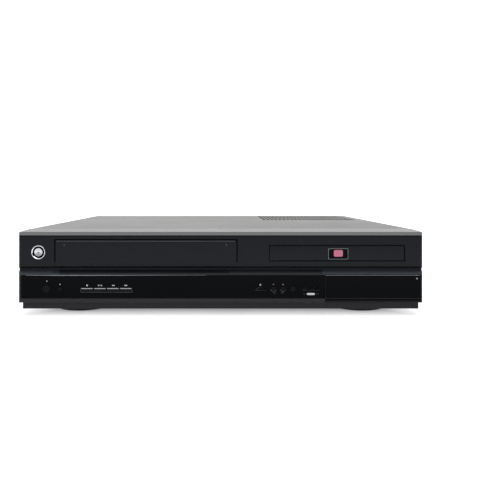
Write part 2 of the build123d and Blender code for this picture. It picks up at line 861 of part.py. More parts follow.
def socket_door():
    """Flip-down door with a rounded hinge edge and two pins."""
    axis_y, axis_z = socket_axis()
    plate = deep(socket_door_x, (0, socket_door_wall), (axis_z, socket_door_z[1]))
    length = socket_door_x[1] - socket_door_x[0]
    edge = rod((socket_door_x[0], axis_y, axis_z), socket_hinge_radius, length, "X")
    pin = rod((socket_door_x[0] - socket_pin_reach, axis_y, axis_z), socket_pin_radius,
              length + 2 * socket_pin_reach, "X")
    border = deep((socket_door_x[0] - over, socket_door_x[1] + over), (-over, socket_door_step),
                  (socket_door_z[0] - over, gloss_z[0]))
    return plate + edge + pin - border


# ---- case ----
def top_cover():
    """Folded cover: top, two sides, a lip over the rear panel, and rows of vent slots."""
    outer = block((-half_cover, half_cover), (cover_front_y, rear_y + cover_wall),
                  (cover_foot_z, total_height))
    top_edges = outer.edges().filter_by(Axis.Y).group_by(Axis.Z)[-1]
    outer = fillet(top_edges, cover_corner)
    inner = block((-cover_inner, cover_inner), (cover_front_y - over, rear_y),
                  (cover_foot_z - over, total_height - cover_wall))
    inner_edges = inner.edges().filter_by(Axis.Y).group_by(Axis.Z)[-1]
    inner = fillet(inner_edges, cover_corner - cover_wall)
    cover = outer - inner
    cover -= block((-cover_inner, cover_inner), (rear_y - over, rear_y + cover_wall + over),
                   (cover_foot_z - over, total_height - cover_lip))
    columns = int((vent_x[1] - vent_x[0]) / vent_pitch) + 1
    row_pitch = (vent_behind[1] - vent_behind[0] + vent_bridge) / vent_rows
    slots = [deep((vent_x[0] + i * vent_pitch, vent_x[0] + i * vent_pitch + vent_slot),
                  (vent_behind[0] + j * row_pitch, vent_behind[0] + (j + 1) * row_pitch - vent_bridge),
                  (total_height - 2 * cover_wall, total_height + over))
             for i in range(columns) for j in range(vent_rows)]
    cover = cover - slots
    for side in (-1, 1):
        for depth in side_screw_behind:
            start = (side * half_cover - screw_hole / 2, behind(depth), side_screw_z)
            cover -= rod(start, screw_shank_radius + loose_gap, screw_hole, "X")
    for x in rear_screw_x:
        cover -= rod((x, rear_y - over, rear_screw_z()), screw_shank_radius + loose_gap, screw_hole, "Y")
    return cover


def rear_screw_z():
    """Z of the screws through the cover's rear lip."""
    return total_height - cover_lip / 2


def feet_centres():
    """X and Y of the four feet."""
    depth = rear_y - front_y
    return [(x, behind(d)) for x in (-foot_inset_x, foot_inset_x)
            for d in (foot_behind, depth - foot_behind)]


def bottom_chassis():
    """Pressed pan with flanges, embossed ribs and the bosses that carry deck and boards."""
    narrow = half_width - skirt_side - bezel_end_wall - sheet_gap
    front = skirt_deep + bezel_wall + sheet_gap
    step = bezel_behind + seam
    pan = block((-pan_half, pan_half), (behind(step), rear_inner_y), (pan_z, pan_top + pan_flange))
    pan -= block((-pan_half + pan_wall, pan_half - pan_wall), (behind(step) - over, rear_inner_y + over),
                 (pan_top, pan_top + pan_flange + over))
    tongue = deep((-narrow, narrow), (front, step), (pan_z, pan_top))
    fold = deep((-narrow, narrow), (front, front + pan_wall), (pan_z, bezel_foot_z - sheet_gap))
    pan = pan + tongue + fold
    for x in pan_ribs():
        length = pan_rib_behind[1] - pan_rib_behind[0]
        middle = behind(sum(pan_rib_behind) / 2)
        plan = Pos(x, middle) * RectangleRounded(pan_rib_width, length, pan_rib_corner)
        pan += loft([Pos(0, 0, pan_top) * plan, Pos(0, 0, pan_top + pan_rib) * offset(plan, -pan_rib)])
        pan -= loft([Pos(0, 0, pan_z) * offset(plan, -pan_wall),
                     Pos(0, 0, pan_z + pan_rib) * offset(plan, -pan_wall - pan_rib)])
    for x, y in board_posts():
        pan += rod((x, y, pan_top), boss_radius, board_z - pan_top)
    for x, y in deck_posts():
        pan += rod((x, y, pan_top), deck_boss_radius, deck_z - pan_top)
    for side in (-1, 1):
        for depth in side_screw_behind:
            start = (side * pan_half - screw_hole / 2, behind(depth), side_screw_z)
            pan -= rod(start, screw_shank_radius + spin_gap, screw_hole, "X")
    return pan


def pan_ribs():
    """X of the pan's ribs: three under the cassette deck and two under the disc drive."""
    deck, drive = pan_rib_space
    return tape_x - deck, tape_x, tape_x + deck, disc_x - drive / 2, disc_x + drive / 2


def board_posts():
    """X and Y of the posts under the main and power boards."""
    inset = board_post_inset
    posts = []
    for xs, depths in ((main_board_x, main_board_behind), (power_board_x, power_board_behind)):
        posts += [(x, behind(d)) for x in (xs[0] + inset, xs[1] - inset)
                  for d in (depths[0] + inset, depths[1] - inset)]
    return posts


def deck_posts():
    """X and Y of the posts under the cassette deck's corners."""
    inset = deck_post_inset
    return [(tape_x + side * (frame_half - inset), behind(d)) for side in (-1, 1)
            for d in (deck_behind[0] + inset, deck_behind[1] - inset)]


def rear_panel():
    """Steel panel with an opening for each socket."""
    panel = block((-pan_half, pan_half), (rear_inner_y, rear_y),
                  (pan_z, total_height - cover_wall - rear_top_gap))
    panel = fillet(panel.edges().filter_by(Axis.Y).group_by(Axis.Z)[-1], cover_corner)
    for x, z in rear_phonos():
        panel -= rod((x, rear_inner_y - over, z), phono_barrel + loose_gap, rear_wall + 2 * over, "Y")
    for x in aerial_x:
        panel -= rod((x, rear_inner_y - over, aerial_z), aerial_radius + loose_gap, rear_wall + 2 * over,
                     "Y")
    panel -= block((inlet_x - inlet_size[0] / 2 - sheet_gap, inlet_x + inlet_size[0] / 2 + sheet_gap),
                   (rear_inner_y - over, rear_y + over),
                   (inlet_z - inlet_size[1] / 2 - sheet_gap, inlet_z + inlet_size[1] / 2 + sheet_gap))
    for x in rear_screw_x:
        panel -= rod((x, rear_inner_y - over, rear_screw_z()), screw_shank_radius + spin_gap, screw_hole, "Y")
    return panel


def feet():
    """Four moulded discs that taper to the shelf."""
    points = [(0, foot_step), (pad_radius + loose_gap, foot_step), (pad_radius + loose_gap, pad_stand),
              (foot_radius - foot_taper, pad_stand), (foot_radius, foot_step + pad_stand),
              (foot_radius, pan_z - foot_edge), (foot_radius - foot_edge, pan_z), (0, pan_z)]
    return group(*[spun(points, x, y) for x, y in feet_centres()])


def foot_pads():
    """Soft pads set into the feet."""
    return group(*[rod((x, y, 0), pad_radius, foot_step) for x, y in feet_centres()])


def case_screws():
    """Pan-head screws through the cover: two on each side and three at the rear."""
    screws = []
    for side in (-1, 1):
        for depth in side_screw_behind:
            y = behind(depth)
            face = side * half_cover
            head = rod((face if side > 0 else face - screw_head_wall, y, side_screw_z),
                       screw_head_radius, screw_head_wall, "X")
            shank = rod((face - side_shank if side > 0 else face, y, side_screw_z), screw_shank_radius,
                        side_shank, "X")
            screws.append(head + shank)
    for x in rear_screw_x:
        y = rear_y + cover_wall
        head = rod((x, y, rear_screw_z()), screw_head_radius, screw_head_wall, "Y")
        screws.append(head + rod((x, y - rear_shank, rear_screw_z()), screw_shank_radius, rear_shank, "Y"))
    return group(*screws)


# ---- electronics ----
def board(xs, depths):
    """Flat circuit board on its posts."""
    return deep(xs, depths, (board_z, board_z + board_wall))


def main_board():
    """Rear board with its chips and connectors."""
    shape = board(main_board_x, main_board_behind)
    row = main_board_behind[0] + chip_row
    places = [(tape_x + x, row, size, height) for x, size, height in chips]
    places.append((tape_x + tuner_x, inner_depth - tuner_from_rear, tuner_size, tuner_height))
    for x, depth, size, height in places:
        shape += deep((x - size / 2, x + size / 2), (depth - size / 2, depth + size / 2),
                      (board_top - fuse, board_top + height))
    return shape


def power_board():
    """Board under the power parts."""
    return board(power_board_x, power_board_behind)


def on_power(size, x_from_left, y_from_front):
    """Ends of a part that stands on the power board."""
    x0 = power_board_x[0] + x_from_left
    y0 = behind(power_board_behind[0] + y_from_front)
    return (x0, x0 + size[0]), (y0, y0 + size[1]), (board_top, board_top + size[2])


def transformer():
    """Ferrite core in two halves round a wound bobbin."""
    xs, ys, zs = on_power(transformer_size, *transformer_place)
    core = block(xs, (ys[0] + core_inset, ys[1] - core_inset), zs)
    window = block((xs[0] + core_limb, xs[1] - core_limb), ys, (zs[0] + core_base, zs[1] - core_roof))
    bobbin = fillet(window.edges().filter_by(Axis.Y), bobbin_round)
    return core + bobbin


def heat_sink():
    """Upright plate with fins."""
    board_depth = power_board_behind[1] - power_board_behind[0]
    xs, ys, zs = on_power(sink_size, sink_place[0], board_depth - sink_place[1])
    plate = block(xs, ys, zs)
    pitch = (sink_size[0] - sink_size[1]) / (sink_fins - 1)
    for i in range(sink_fins):
        x0 = xs[0] + i * pitch
        plate += block((x0, x0 + sink_size[1] / 2), (ys[0], ys[0] + sink_fin_reach), zs)
    return plate


def capacitors():
    """Row of electrolytic cans with rolled tops."""
    cans = []
    for i, (radius, height) in enumerate(cap_sizes):
        x = power_board_x[0] + cap_place[0] + i * cap_space
        y = behind(power_board_behind[0] + cap_place[1])
        top = board_top + height
        points = [(0, board_top), (radius, board_top), (radius, top - cap_roll), (radius - cap_roll, top),
                  (0, top)]
        cans.append(spun(points, x, y))
    return group(*cans)


def front_board():
    """Upright board behind the gloss panel, with a tact switch behind each key."""
    base = deep(front_board_x, (front_board_behind, front_board_behind + board_wall), front_board_z)
    for outline in key_outlines().values():
        spot = outline.center()
        for half, start in ((switch_half, front_board_behind - switch_body),
                            (plunger_half, switch_behind)):
            base += deep((spot.X - half, spot.X + half), (start, front_board_behind + fuse),
                         (spot.Y - half, spot.Y + half))
    return base


def display_module():
    """Display glass in its holder, between the bezel's window and the front board."""
    glass = deep((display_x[0] + run_gap, display_x[1] - run_gap), (gloss_wall + loose_gap, display_behind),
                 (display_z[0] + run_gap, display_z[1] - run_gap))
    inset_x, inset_z = display_holder_inset
    holder = deep((display_x[0] + inset_x, display_x[1] - inset_x), (display_behind, front_board_behind),
                  (display_z[0] + inset_z, display_z[1] - inset_z))
    return glass + holder


# ---- sockets ----
def rear_phonos():
    """X and Z of the phono sockets on the rear panel."""
    return [(phono_rear_x + column * phono_pitch, z)
            for column in range(phono_rear_columns) for z in phono_rows_z]


def phono_barrel_at(x, y, z, reach):
    """Metal barrel with its insulator left open round the centre hole; +Y is outwards."""
    outer = rod((x, y, z), phono_barrel, reach, "Y")
    annulus = tube((x, y + phono_well, z), phono_bore, phono_pin_bore + phono_sleeve, reach, "Y")
    return outer - annulus - rod((x, y + over, z), phono_pin_bore, reach, "Y")


def phono_blocks():
    """Moulded housings behind the rear panel, one for each column."""
    blocks = []
    half = phono_house / 2
    for column in range(phono_rear_columns):
        x = phono_rear_x + column * phono_pitch
        blocks.append(block((x - half, x + half), (rear_inner_y - phono_house_deep, rear_inner_y),
                            (board_top, phono_rows_z[-1] + half)))
    return group(*blocks)


def phono_barrels():
    """Barrels that stand out behind the rear panel, each on a neck through its hole."""
    start = rear_y + loose_gap
    necks = [rod((x, rear_inner_y, z), phono_neck, start - rear_inner_y + fuse, "Y")
             + phono_barrel_at(x, start, z, total_depth / 2 - start) for x, z in rear_phonos()]
    return group(*necks)


def aerial_terminals():
    """Screened tuner can with two threaded terminals."""
    middle = sum(aerial_x) / 2
    width, deep_size, height = aerial_house
    can = block((middle - width / 2, middle + width / 2), (rear_inner_y - deep_size, rear_inner_y),
                (aerial_z - height / 2, aerial_z + height / 2))
    leg = block((middle - width / 2, middle + width / 2),
                (rear_inner_y - deep_size, rear_inner_y - aerial_leg_gap), (board_top, aerial_z))
    shape = can + leg
    start = rear_y + loose_gap
    reach = aerial_proud - loose_gap
    for x in aerial_x:
        shape += rod((x, rear_inner_y - fuse, aerial_z), aerial_neck, start - rear_inner_y + 2 * fuse, "Y")
        shape += rod((x, start, aerial_z), aerial_radius, reach, "Y")
        shape -= rod((x, start + over, aerial_z), aerial_bore, reach, "Y")
    return shape


def mains_inlet():
    """Two-pin inlet in the rear panel; its mouth is a rounded slot."""
    xs = (inlet_x - inlet_size[0] / 2, inlet_x + inlet_size[0] / 2)
    zs = (inlet_z - inlet_size[1] / 2, inlet_z + inlet_size[1] / 2)
    body = block(xs, (rear_y - inlet_deep, rear_y), zs)
    body += block((xs[0] - inlet_rim, xs[1] + inlet_rim), (rear_y, rear_y + inlet_rim_wall),
                  (zs[0] - inlet_rim, zs[1] + inlet_rim))
    body += block((xs[0] + inlet_leg_inset, xs[1] - inlet_leg_inset),
                  (rear_y - inlet_deep, rear_y - inlet_deep + inlet_leg_deep), (board_top, zs[0] + over))
    mouth = SlotOverall(*inlet_mouth)
    plane = Plane((inlet_x, rear_y + 2 * over, inlet_z), x_dir=(1, 0, 0), z_dir=(0, -1, 0))
    body -= extrude(plane * mouth, inlet_mouth_deep + 2 * over)
    for side in (-1, 1):
        start = (inlet_x + side * inlet_pin_space / 2, rear_y - inlet_mouth_deep - over, inlet_z)
        body += rod(start, inlet_pin_radius, inlet_mouth_deep - over, "Y")
    return body


def front_sockets():
    """Three phono sockets in the recess: flange, barrel to the front and body behind."""
    wall_y = behind(recess_behind - recess_wall)
    shapes = []
    for x in front_phono_x:
        flange = rod((x, wall_y - front_phono_flange, front_phono_z), phono_barrel + front_phono_brim,
                     front_phono_flange, "Y")
        back = block((x - phono_house / 2, x + phono_house / 2),
                     (behind(recess_behind), behind(recess_behind) + phono_house_deep),
                     (front_phono_z - phono_house / 2, front_phono_z + phono_house / 2))
        neck = rod((x, wall_y - over, front_phono_z), phono_barrel, recess_wall + over + fuse, "Y")
        barrel = rod((x, wall_y - front_phono_reach, front_phono_z), phono_barrel,
                     front_phono_reach, "Y")
        solid = flange + back + neck + barrel
        mouth = (x, wall_y - front_phono_reach - over, front_phono_z)
        well = tube(mouth, phono_bore, phono_pin_bore + phono_sleeve, front_phono_reach, "Y")
        hole = rod(mouth, phono_pin_bore, front_phono_reach + 2 * over, "Y")
        shapes.append(solid - well - hole)
    return group(*shapes)


# ---- disc drive ----
def drive_chassis():
    """Moulded frame: side walls with tray rails and an open floor for the traverse."""
    inner = tray_half + run_gap
    floor_top = drive_z[0] + drive_floor
    walls = deep((disc_x - drive_half, disc_x + drive_half), drive_behind, drive_z)
    walls -= deep((disc_x - inner, disc_x + inner), (drive_behind[0] - over, drive_behind[1] - drive_wall),
                  (floor_top, drive_z[1] + over))
    walls -= deep((disc_x - traverse_x - traverse_gap, disc_x + traverse_x + traverse_gap),
                  (traverse_front - floor_past[0], lift_pivot_behind + floor_past[1]),
                  (drive_z[0] - over, floor_top + over))
    for side in (-1, 1):
        edge = disc_x + side * inner
        rail = deep((edge, edge - side * rail_wall), drive_behind,
                    (tray_z - sheet_gap - rail_height, tray_z - sheet_gap))
        walls += rail
        for depth in keeper_behind:
            walls += deep((edge, edge - side * rail_wall), (depth, depth + keeper_length),
                          (tray_rim_z + run_gap, tray_rim_z + run_gap + rail_height))
        # ears for the traverse pivot
        ear_x = disc_x + side * (traverse_x + traverse_gap / 2)
        walls += deep((ear_x, ear_x + side * lift_ear_wall),
                      (lift_pivot_behind - lift_ear_half, lift_pivot_behind + lift_ear_half),
                      (drive_z[0], lift_pivot_z + lift_ear_top))
    bore_half = traverse_x + lift_ear_half
    pivot = (disc_x - bore_half, behind(lift_pivot_behind), lift_pivot_z)
    walls -= rod(pivot, lift_pin_radius + spin_gap, 2 * bore_half, "X")
    return walls + rod((*gear_centre(), drive_z[0]), gear_post_radius, gear_top() - drive_z[0])


def gear_centre():
    """X and Y of the tray gear, beside the rack under the tray's right edge."""
    return rack_face() - tooth_root * gear_module - gear_radius, behind(gear_behind)


def rack_face():
    """X of the rack's plain side, from which its teeth stand."""
    return disc_x + tray_half - rail_wall - run_gap - rack_width


def tooth():
    """Straight-sided tooth that points along +X, with its pitch line on the Y axis."""
    tip = tooth_tip * gear_module
    root = tooth_root * gear_module
    half = tooth_pitch / 4 - tooth_play / 2
    lean = tan(radians(tooth_slope))
    return make_face(Polyline((-root - fuse, -half - root * lean), (tip, -half + tip * lean),
                              (tip, half - tip * lean), (-root - fuse, half + root * lean), close=True))


def gear_top():
    """Z of the top of the tray gear's post."""
    return tray_z - run_gap


def drive_bracket():
    """Steel bracket that carries the disc drive above the pan."""
    ends = (drive_behind[0] + bracket_inset[0], drive_behind[1] - bracket_inset[1])
    gap = (ends[0] + bracket_window_inset, ends[1] - bracket_window_inset)
    channels = []
    for side in (-1, 1):
        edge = disc_x + side * drive_half
        flange = (edge - side * bracket_foot, edge)
        foot = deep(flange, ends, (pan_top, pan_top + pan_wall))
        wall = deep((edge - side * pan_wall, edge), ends, (pan_top, drive_z[0]))
        top = deep(flange, ends, (drive_z[0] - pan_wall, drive_z[0]))
        window = deep((edge - 2 * pan_wall, edge + 2 * pan_wall), gap,
                      (pan_top + bracket_window_rise, drive_z[0] - bracket_window_rise))
        channels.append(foot + wall + top - window)
    return group(*channels)


def dvd_tray():
    """Disc tray: stepped disc well, hub and sled openings, rack under its right edge."""
    x = disc_x
    y = behind(disc_behind)
    body = deep((x - tray_half, x + tray_half), (tray_back, tray_back + tray_length),
                (tray_z, tray_rim_z))
    body -= rod((x, y, disc_seat_z), disc_radius + disc_play, tray_rim_z)
    body -= rod((x, y, disc_seat_z - small_disc_deep), small_disc_radius, tray_rim_z)
    # hollow the underside, leaving a floor under the wells and a wall all round
    hollow_half = tray_half - rail_wall - tray_hollow_side
    under = (tray_z - over, tray_rim_z - tray_floor)
    body -= deep((x - hollow_half, x + hollow_half),
                 (disc_behind + disc_radius + tray_hollow_end, tray_length - tray_hollow_end), under)
    body -= rod((x, y, tray_z - over), hub_hole_radius, tray_rim_z)
    body -= deep((x - sled_slot_x, x + sled_slot_x), (disc_behind, disc_behind + sled_slot_end),
                 (tray_z - over, tray_rim_z))
    for side in (-1, 1):
        body -= deep((x + side * tray_pocket_x[0], x + side * tray_pocket_x[1]),
                     (disc_behind - tray_pocket_ahead[0], disc_behind - tray_pocket_ahead[1]), under)
    return body + rack()


def rack():
    """Rack under the tray's right edge, long enough for the whole travel."""
    face = rack_face()
    x, y = gear_centre()
    pitch_x = x + gear_radius
    strip = deep((face, face + rack_width), (tray_back + rack_inset, tray_back + tray_length - rack_inset),
                 (tray_z - rack_drop, tray_z + fuse))
    count = int(tray_travel / tooth_pitch) + 3
    gaps = [y + (i - 0.5) * tooth_pitch for i in range(count)]
    outline = [Pos(pitch_x, place) * Rot(0, 0, 180) * tooth() for place in gaps]
    teeth = extrude(Pos(0, 0, tray_z - rack_drop) * Sketch(children=outline), rack_drop + fuse)
    return strip + teeth


def tray_front():
    """Front of the tray with softened edges."""
    plate = deep(tray_front_x, (tray_front_inset, tray_back), tray_front_z)
    return fillet(plate.faces().sort_by(Axis.Y)[0].edges(), tray_front_edge)


def tray_gear():
    """Toothed wheel that drives the tray's rack."""
    x, y = gear_centre()
    wheel = Circle(gear_radius - tooth_root * gear_module)
    step = 360 / gear_teeth
    teeth = [Rot(0, 0, i * step) * Pos(gear_radius, 0) * tooth() for i in range(gear_teeth)]
    gear = extrude(wheel + teeth, gear_wall)
    gear -= rod((0, 0, -over), gear_post_radius + spin_gap, gear_wall + 2 * over)
    return Pos(x, y, gear_top() - gear_wall - run_gap) * gear


def clamp_bridge():
    """Steel bridge over the tray with the clamper's hole and stiffening folds."""
    xs = (disc_x - drive_half, disc_x + drive_half)
    ends = (disc_behind - bridge_width / 2, disc_behind + bridge_width / 2)
    strip = deep(xs, ends, (drive_z[1], drive_z[1] + bridge_wall))
    for depth in (ends[0], ends[1] - bridge_wall):
        strip += deep(xs, (depth, depth + bridge_wall), (drive_z[1], drive_z[1] + bridge_fold))
    return strip - rod((disc_x, behind(disc_behind), drive_z[1] - over), clamp_hole_radius, 2 * bridge_fold)


def disc_clamper():
    """Clamper that hangs in the bridge by its flange."""
    flange_z = drive_z[1] + bridge_wall + sheet_gap
    flange_top = flange_z + clamp_flange_wall
    rim = cone_radius + over
    points = [(0, clamp_foot_z + cone_height), (rim, clamp_foot_z + cone_height), (rim, clamp_foot_z),
              (clamp_body_radius, clamp_foot_z), (clamp_body_radius, flange_z),
              (clamp_flange_radius, flange_z), (clamp_flange_radius, flange_top),
              (clamp_crown_radius, flange_top + clamp_crown), (0, flange_top + clamp_crown)]
    return spun(points, disc_x, behind(disc_behind))


def traverse_frame():
    """Frame that carries spindle and sled and tilts up to play."""
    top = traverse_top_z
    under = top - traverse_wall
    xs = (disc_x - traverse_x, disc_x + traverse_x)
    tail = lift_pivot_behind + lift_bar[1]
    start, end = rod_ends()
    half = sled_rod_x - sled_rail_inset
    frame = deep(xs, (traverse_front, tail), (under, top))
    frame -= deep((disc_x - half, disc_x + half), (disc_behind + turntable_radius, end),
                  (under - over, top + over))
    frame += deep(xs, (lift_pivot_behind - lift_bar[0], tail), (under - traverse_wall, top))
    for depth in (start, end):
        for side in (-1, 1):
            frame += deep((disc_x + side * (spindle_motor_radius + lug_gap),
                           disc_x + side * (sled_rod_x + lug_past)),
                          (depth, depth + lug_wall), (rod_z() - lug_drop, under))
    bore_start = behind(start) - over
    bore = end - start + lug_wall + 2 * over
    for side in (-1, 1):
        frame -= rod((disc_x + side * sled_rod_x, bore_start, rod_z()), sled_rod_radius, bore, "Y")
    frame -= rod((screw_x(), bore_start, rod_z()), screw_radius + spin_gap, bore, "Y")
    frame -= rod((disc_x, behind(disc_behind), under - over), motor_boss_radius(), traverse_wall + 2 * over)
    pin_half = traverse_x + lift_pin_reach
    frame += rod((disc_x - pin_half, behind(lift_pivot_behind), lift_pivot_z), lift_pin_radius,
                 2 * pin_half, "X")
    return dropped(frame)


def motor_boss_radius():
    """Radius of the boss that centres the spindle motor in the frame."""
    return spindle_motor_radius - motor_boss_drop


def rod_ends():
    """Depths of the two lugs that hold the sled rods."""
    far = disc_behind + sled_rest + sled_travel + sled_size[1] / 2
    return disc_behind + lug_behind[0], far + lug_behind[1]


def rod_z():
    """Z of the sled rods and the lead screw."""
    return traverse_top_z - traverse_wall - screw_drop


def screw_x():
    """X of the lead screw, inside the right rod."""
    return disc_x + sled_rod_x - screw_inset


def spindle_and_rods():
    """The frame's steel pieces: the spindle motor under it, and two ground rods in its lugs."""
    start, end = rod_ends()
    rods = [dropped(rod((disc_x + side * sled_rod_x, behind(start), rod_z()), sled_rod_radius,
                        end - start + lug_wall, "Y")) for side in (-1, 1)]
    top = traverse_top_z - traverse_wall
    can = rod((disc_x, behind(disc_behind), top - spindle_motor_height), spindle_motor_radius,
              spindle_motor_height)
    boss = rod((disc_x, behind(disc_behind), top), motor_boss_radius(), traverse_wall + motor_boss_rise)
    return group(dropped(can + boss), *rods)


def disc_turntable():
    """Turntable with its rubber seat and the cone that centres the disc."""
    low = traverse_top_z + motor_boss_rise + sheet_gap
    points = [(0, low), (turntable_stem, low), (turntable_stem, turntable_z - turntable_wall),
              (turntable_radius, turntable_z - turntable_wall), (turntable_radius, turntable_z),
              (cone_radius, turntable_z), (cone_radius - cone_taper, turntable_z + cone_height),
              (0, turntable_z + cone_height)]
    return dropped(spun(points, disc_x, behind(disc_behind)))


def laser_sled():
    """Sled on its two rods, with the lens in a shallow housing."""
    half_x, half_y = sled_size[0] / 2, sled_size[1] / 2
    middle = disc_behind + sled_rest
    ends = (middle - half_y, middle + half_y)
    top = traverse_top_z + sled_rise
    reach = sled_rod_x + sled_arm
    body = deep((disc_x - half_x, disc_x + half_x), ends, (rod_z() - sled_drop, top))
    body += deep((disc_x - reach, disc_x + reach), ends, (rod_z() - sled_drop, rod_z() + sled_drop))
    place = (disc_x, behind(middle), top - fuse)
    body += rod(place, lens_house_radius, lens_z - top - lens_rim)
    body += rod(place, lens_radius, lens_z - top + fuse)
    start = behind(ends[0]) - over
    bore = sled_size[1] + 2 * over
    for side in (-1, 1):
        body -= rod((disc_x + side * sled_rod_x, start, rod_z()), sled_rod_radius + spin_gap, bore, "Y")
    return dropped(body - rod((screw_x(), start, rod_z()), screw_radius + spin_gap, bore, "Y"))


def sled_screw():
    """Lead screw with its drive gear behind the rear lug."""
    start, end = rod_ends()
    shaft = rod((screw_x(), behind(start), rod_z()), screw_radius, end - start + screw_tail, "Y")
    wheel = rod((screw_x(), behind(end + lug_wall + loose_gap), rod_z()), screw_wheel_radius, lug_wall, "Y")
    return dropped(shaft + wheel)


# ---- cassette deck ----
def deck_plate():
    """Pressed base plate with the openings that drum, capstan and reels need, and its posts."""
    plate = deep((tape_x - frame_half - frame_wall, tape_x + frame_half + frame_wall), deck_behind,
                 (deck_z, deck_top))
    plate -= rod((tape_x + capstan_x, behind(capstan_behind), deck_z - over), bush_radius + sheet_gap,
                 deck_wall + 2 * over)
    through = (deck_z - over, deck_top + over)
    plate -= deep((tape_x - deck_slot_half, tape_x + deck_slot_half), deck_slot_behind, through)
    for side in (-1, 1):
        x = tape_x + side * reel_spacing / 2
        plate += rod((x, behind(reel_behind), deck_top), reel_post_radius,
                     reel_spindle_top - deck_top - reel_nose)
        plate += rod((x, behind(reel_behind), deck_top), reel_shoulder,
                     reel_flange_z[0] - loose_gap - deck_top)
        window = deep((tape_x + side * deck_window_x[0], tape_x + side * deck_window_x[1]),
                      deck_window_behind, through)
        plate -= fillet(window.edges().filter_by(Axis.Z), deck_window_round)
    px, py = pinch_pivot_at()
    plate += rod((px, py, deck_top), pinch_post_radius,
                 pinch_arm_z + pinch_arm_wall + pinch_post_top - deck_top)
    plate += rod((px, py, deck_top), pinch_arm_radius, pinch_arm_z - sheet_gap - deck_top)
    return plate


def side_frames():
    """Upright frames with the slots that guide the slider's pins."""
    frames = []
    for side in (-1, 1):
        x = tape_x + side * frame_half
        through = (x - 2 * frame_wall, x + 2 * frame_wall)
        ends = (deck_behind[0], deck_behind[0] + frame_length)
        wall = deep((x, x + side * frame_wall), ends, (deck_top, frame_top_z))
        slot_half = slider_pin_radius + sheet_gap
        slot = (slider_behind + frame_slot_ahead, slider_behind + slider_length + slider_travel)
        wall -= deep(through, slot, (slider_pin_z - slot_half, slider_pin_z + slot_half))
        window = (slider_behind + frame_window_behind[0], slider_behind + frame_window_behind[1])
        wall -= deep(through, window, (deck_top + frame_window_foot, slider_pin_z - frame_window_drop))
        foot = deep((x, x - side * frame_foot), ends, (deck_top, deck_top + frame_wall))
        frames.append(wall + foot)
    return group(*frames)


def slider_pins():
    """Depths of the slider's guide pins."""
    return slider_behind + slider_pin_inset, slider_behind + slider_length - slider_pin_inset


def cassette_slider():
    """Carriage that takes the holder inwards: two slotted plates joined by a bar."""
    top = slider_z[1] + slider_wall
    plates = None
    for side in (-1, 1):
        x = tape_x + side * slider_half
        plate = deep((x, x + side * slider_wall), (slider_behind, slider_behind + slider_length),
                     (slider_z[0], top))
        middle = slider_behind + slider_length / 2
        slot = holder_pin_radius + sheet_gap
        plate -= deep((x - 2 * slider_wall, x + 2 * slider_wall), (middle - slot, middle + slot),
                      (holder_pin_z - holder_drop - slot, holder_pin_z + slot))
        for depth in slider_pins():
            start = x if side > 0 else x - frame_wall - 2 * slider_wall
            plate += rod((start, behind(depth), slider_pin_z), slider_pin_radius,
                         frame_wall + 2 * slider_wall, "X")
        plates = plate if plates is None else plates + plate
    bar = deep((tape_x - slider_half - slider_wall, tape_x + slider_half + slider_wall),
               (slider_behind + slider_length - slider_bar, slider_behind + slider_length),
               (slider_z[1], top))
    return plates + bar


def cassette_holder():
    """Folded holder: roof, sides, lips under the cassette's edges and two stops."""
    outer = holder_half + holder_wall
    ends = (holder_behind, holder_behind + holder_length)
    shape = deep((tape_x - outer, tape_x + outer), ends, holder_z)
    through = (ends[0] - over, ends[1] + over)
    shape -= deep((tape_x - holder_half, tape_x + holder_half), through,
                  (holder_z[0] + holder_wall, holder_z[1] - holder_wall))
    shape -= deep((tape_x - holder_half + holder_lip, tape_x + holder_half - holder_lip), through,
                  (holder_z[0] - over, holder_z[0] + holder_wall + over))
    shape -= deep((tape_x - holder_window_half, tape_x + holder_window_half),
                  (ends[0] + holder_window_inset, ends[1] - holder_window_inset),
                  (holder_z[1] - holder_wall - over, holder_z[1] + over))
    for side in (-1, 1):
        x = tape_x + side * holder_half
        shape += deep((x, x - side * holder_stop), (ends[1] - holder_wall, ends[1]),
                      (holder_z[1] - holder_stop_height, holder_z[1]))
        reach = holder_wall + run_gap + slider_wall + sheet_gap
        start = x if side > 0 else x - reach
        shape += rod((start, behind(slider_behind + slider_length / 2), holder_pin_z), holder_pin_radius,
                     reach, "X")
    return shape


def reel_table(side):
    """Reel table with a toothed rim, splined spindle and bore."""
    x = tape_x + side * reel_spacing / 2
    low, high = reel_flange_z
    hub_top = high + reel_hub_rise
    stem = reel_spindle_radius - reel_fin_reach
    bore = reel_post_radius + spin_gap
    points = [(bore, low), (reel_radius, low), (reel_radius, high), (reel_hub_radius, hub_top),
              (stem, hub_top), (stem, reel_spindle_top - reel_nose), (reel_nose, reel_spindle_top),
              (bore, reel_spindle_top)]
    table = spun(points, 0, 0)
    for i in range(reel_fins):
        fin = block((reel_fin_root, reel_spindle_radius), (-reel_fin_half, reel_fin_half),
                    (high + over, reel_spindle_top - reel_nose - over))
        table += Rot(0, 0, i * 360 / reel_fins) * fin
    return Pos(x, behind(reel_behind), 0) * table


def tilted(shape):
    """A part of the drum, drawn upright round its axis with the parting plane at zero."""
    return Pos(tape_x, behind(drum_behind), drum_part_z) * Rot(drum_tilt, 0, 0) * shape


def drum_base():
    """Fixed lower drum, tilted on its cast foot."""
    lower = tilted(rod((0, 0, -drum_base_height), drum_radius, drum_base_height))
    foot = rod((tape_x, behind(drum_behind), deck_top), drum_foot_radius, drum_foot_z - deck_top)
    return foot + lower


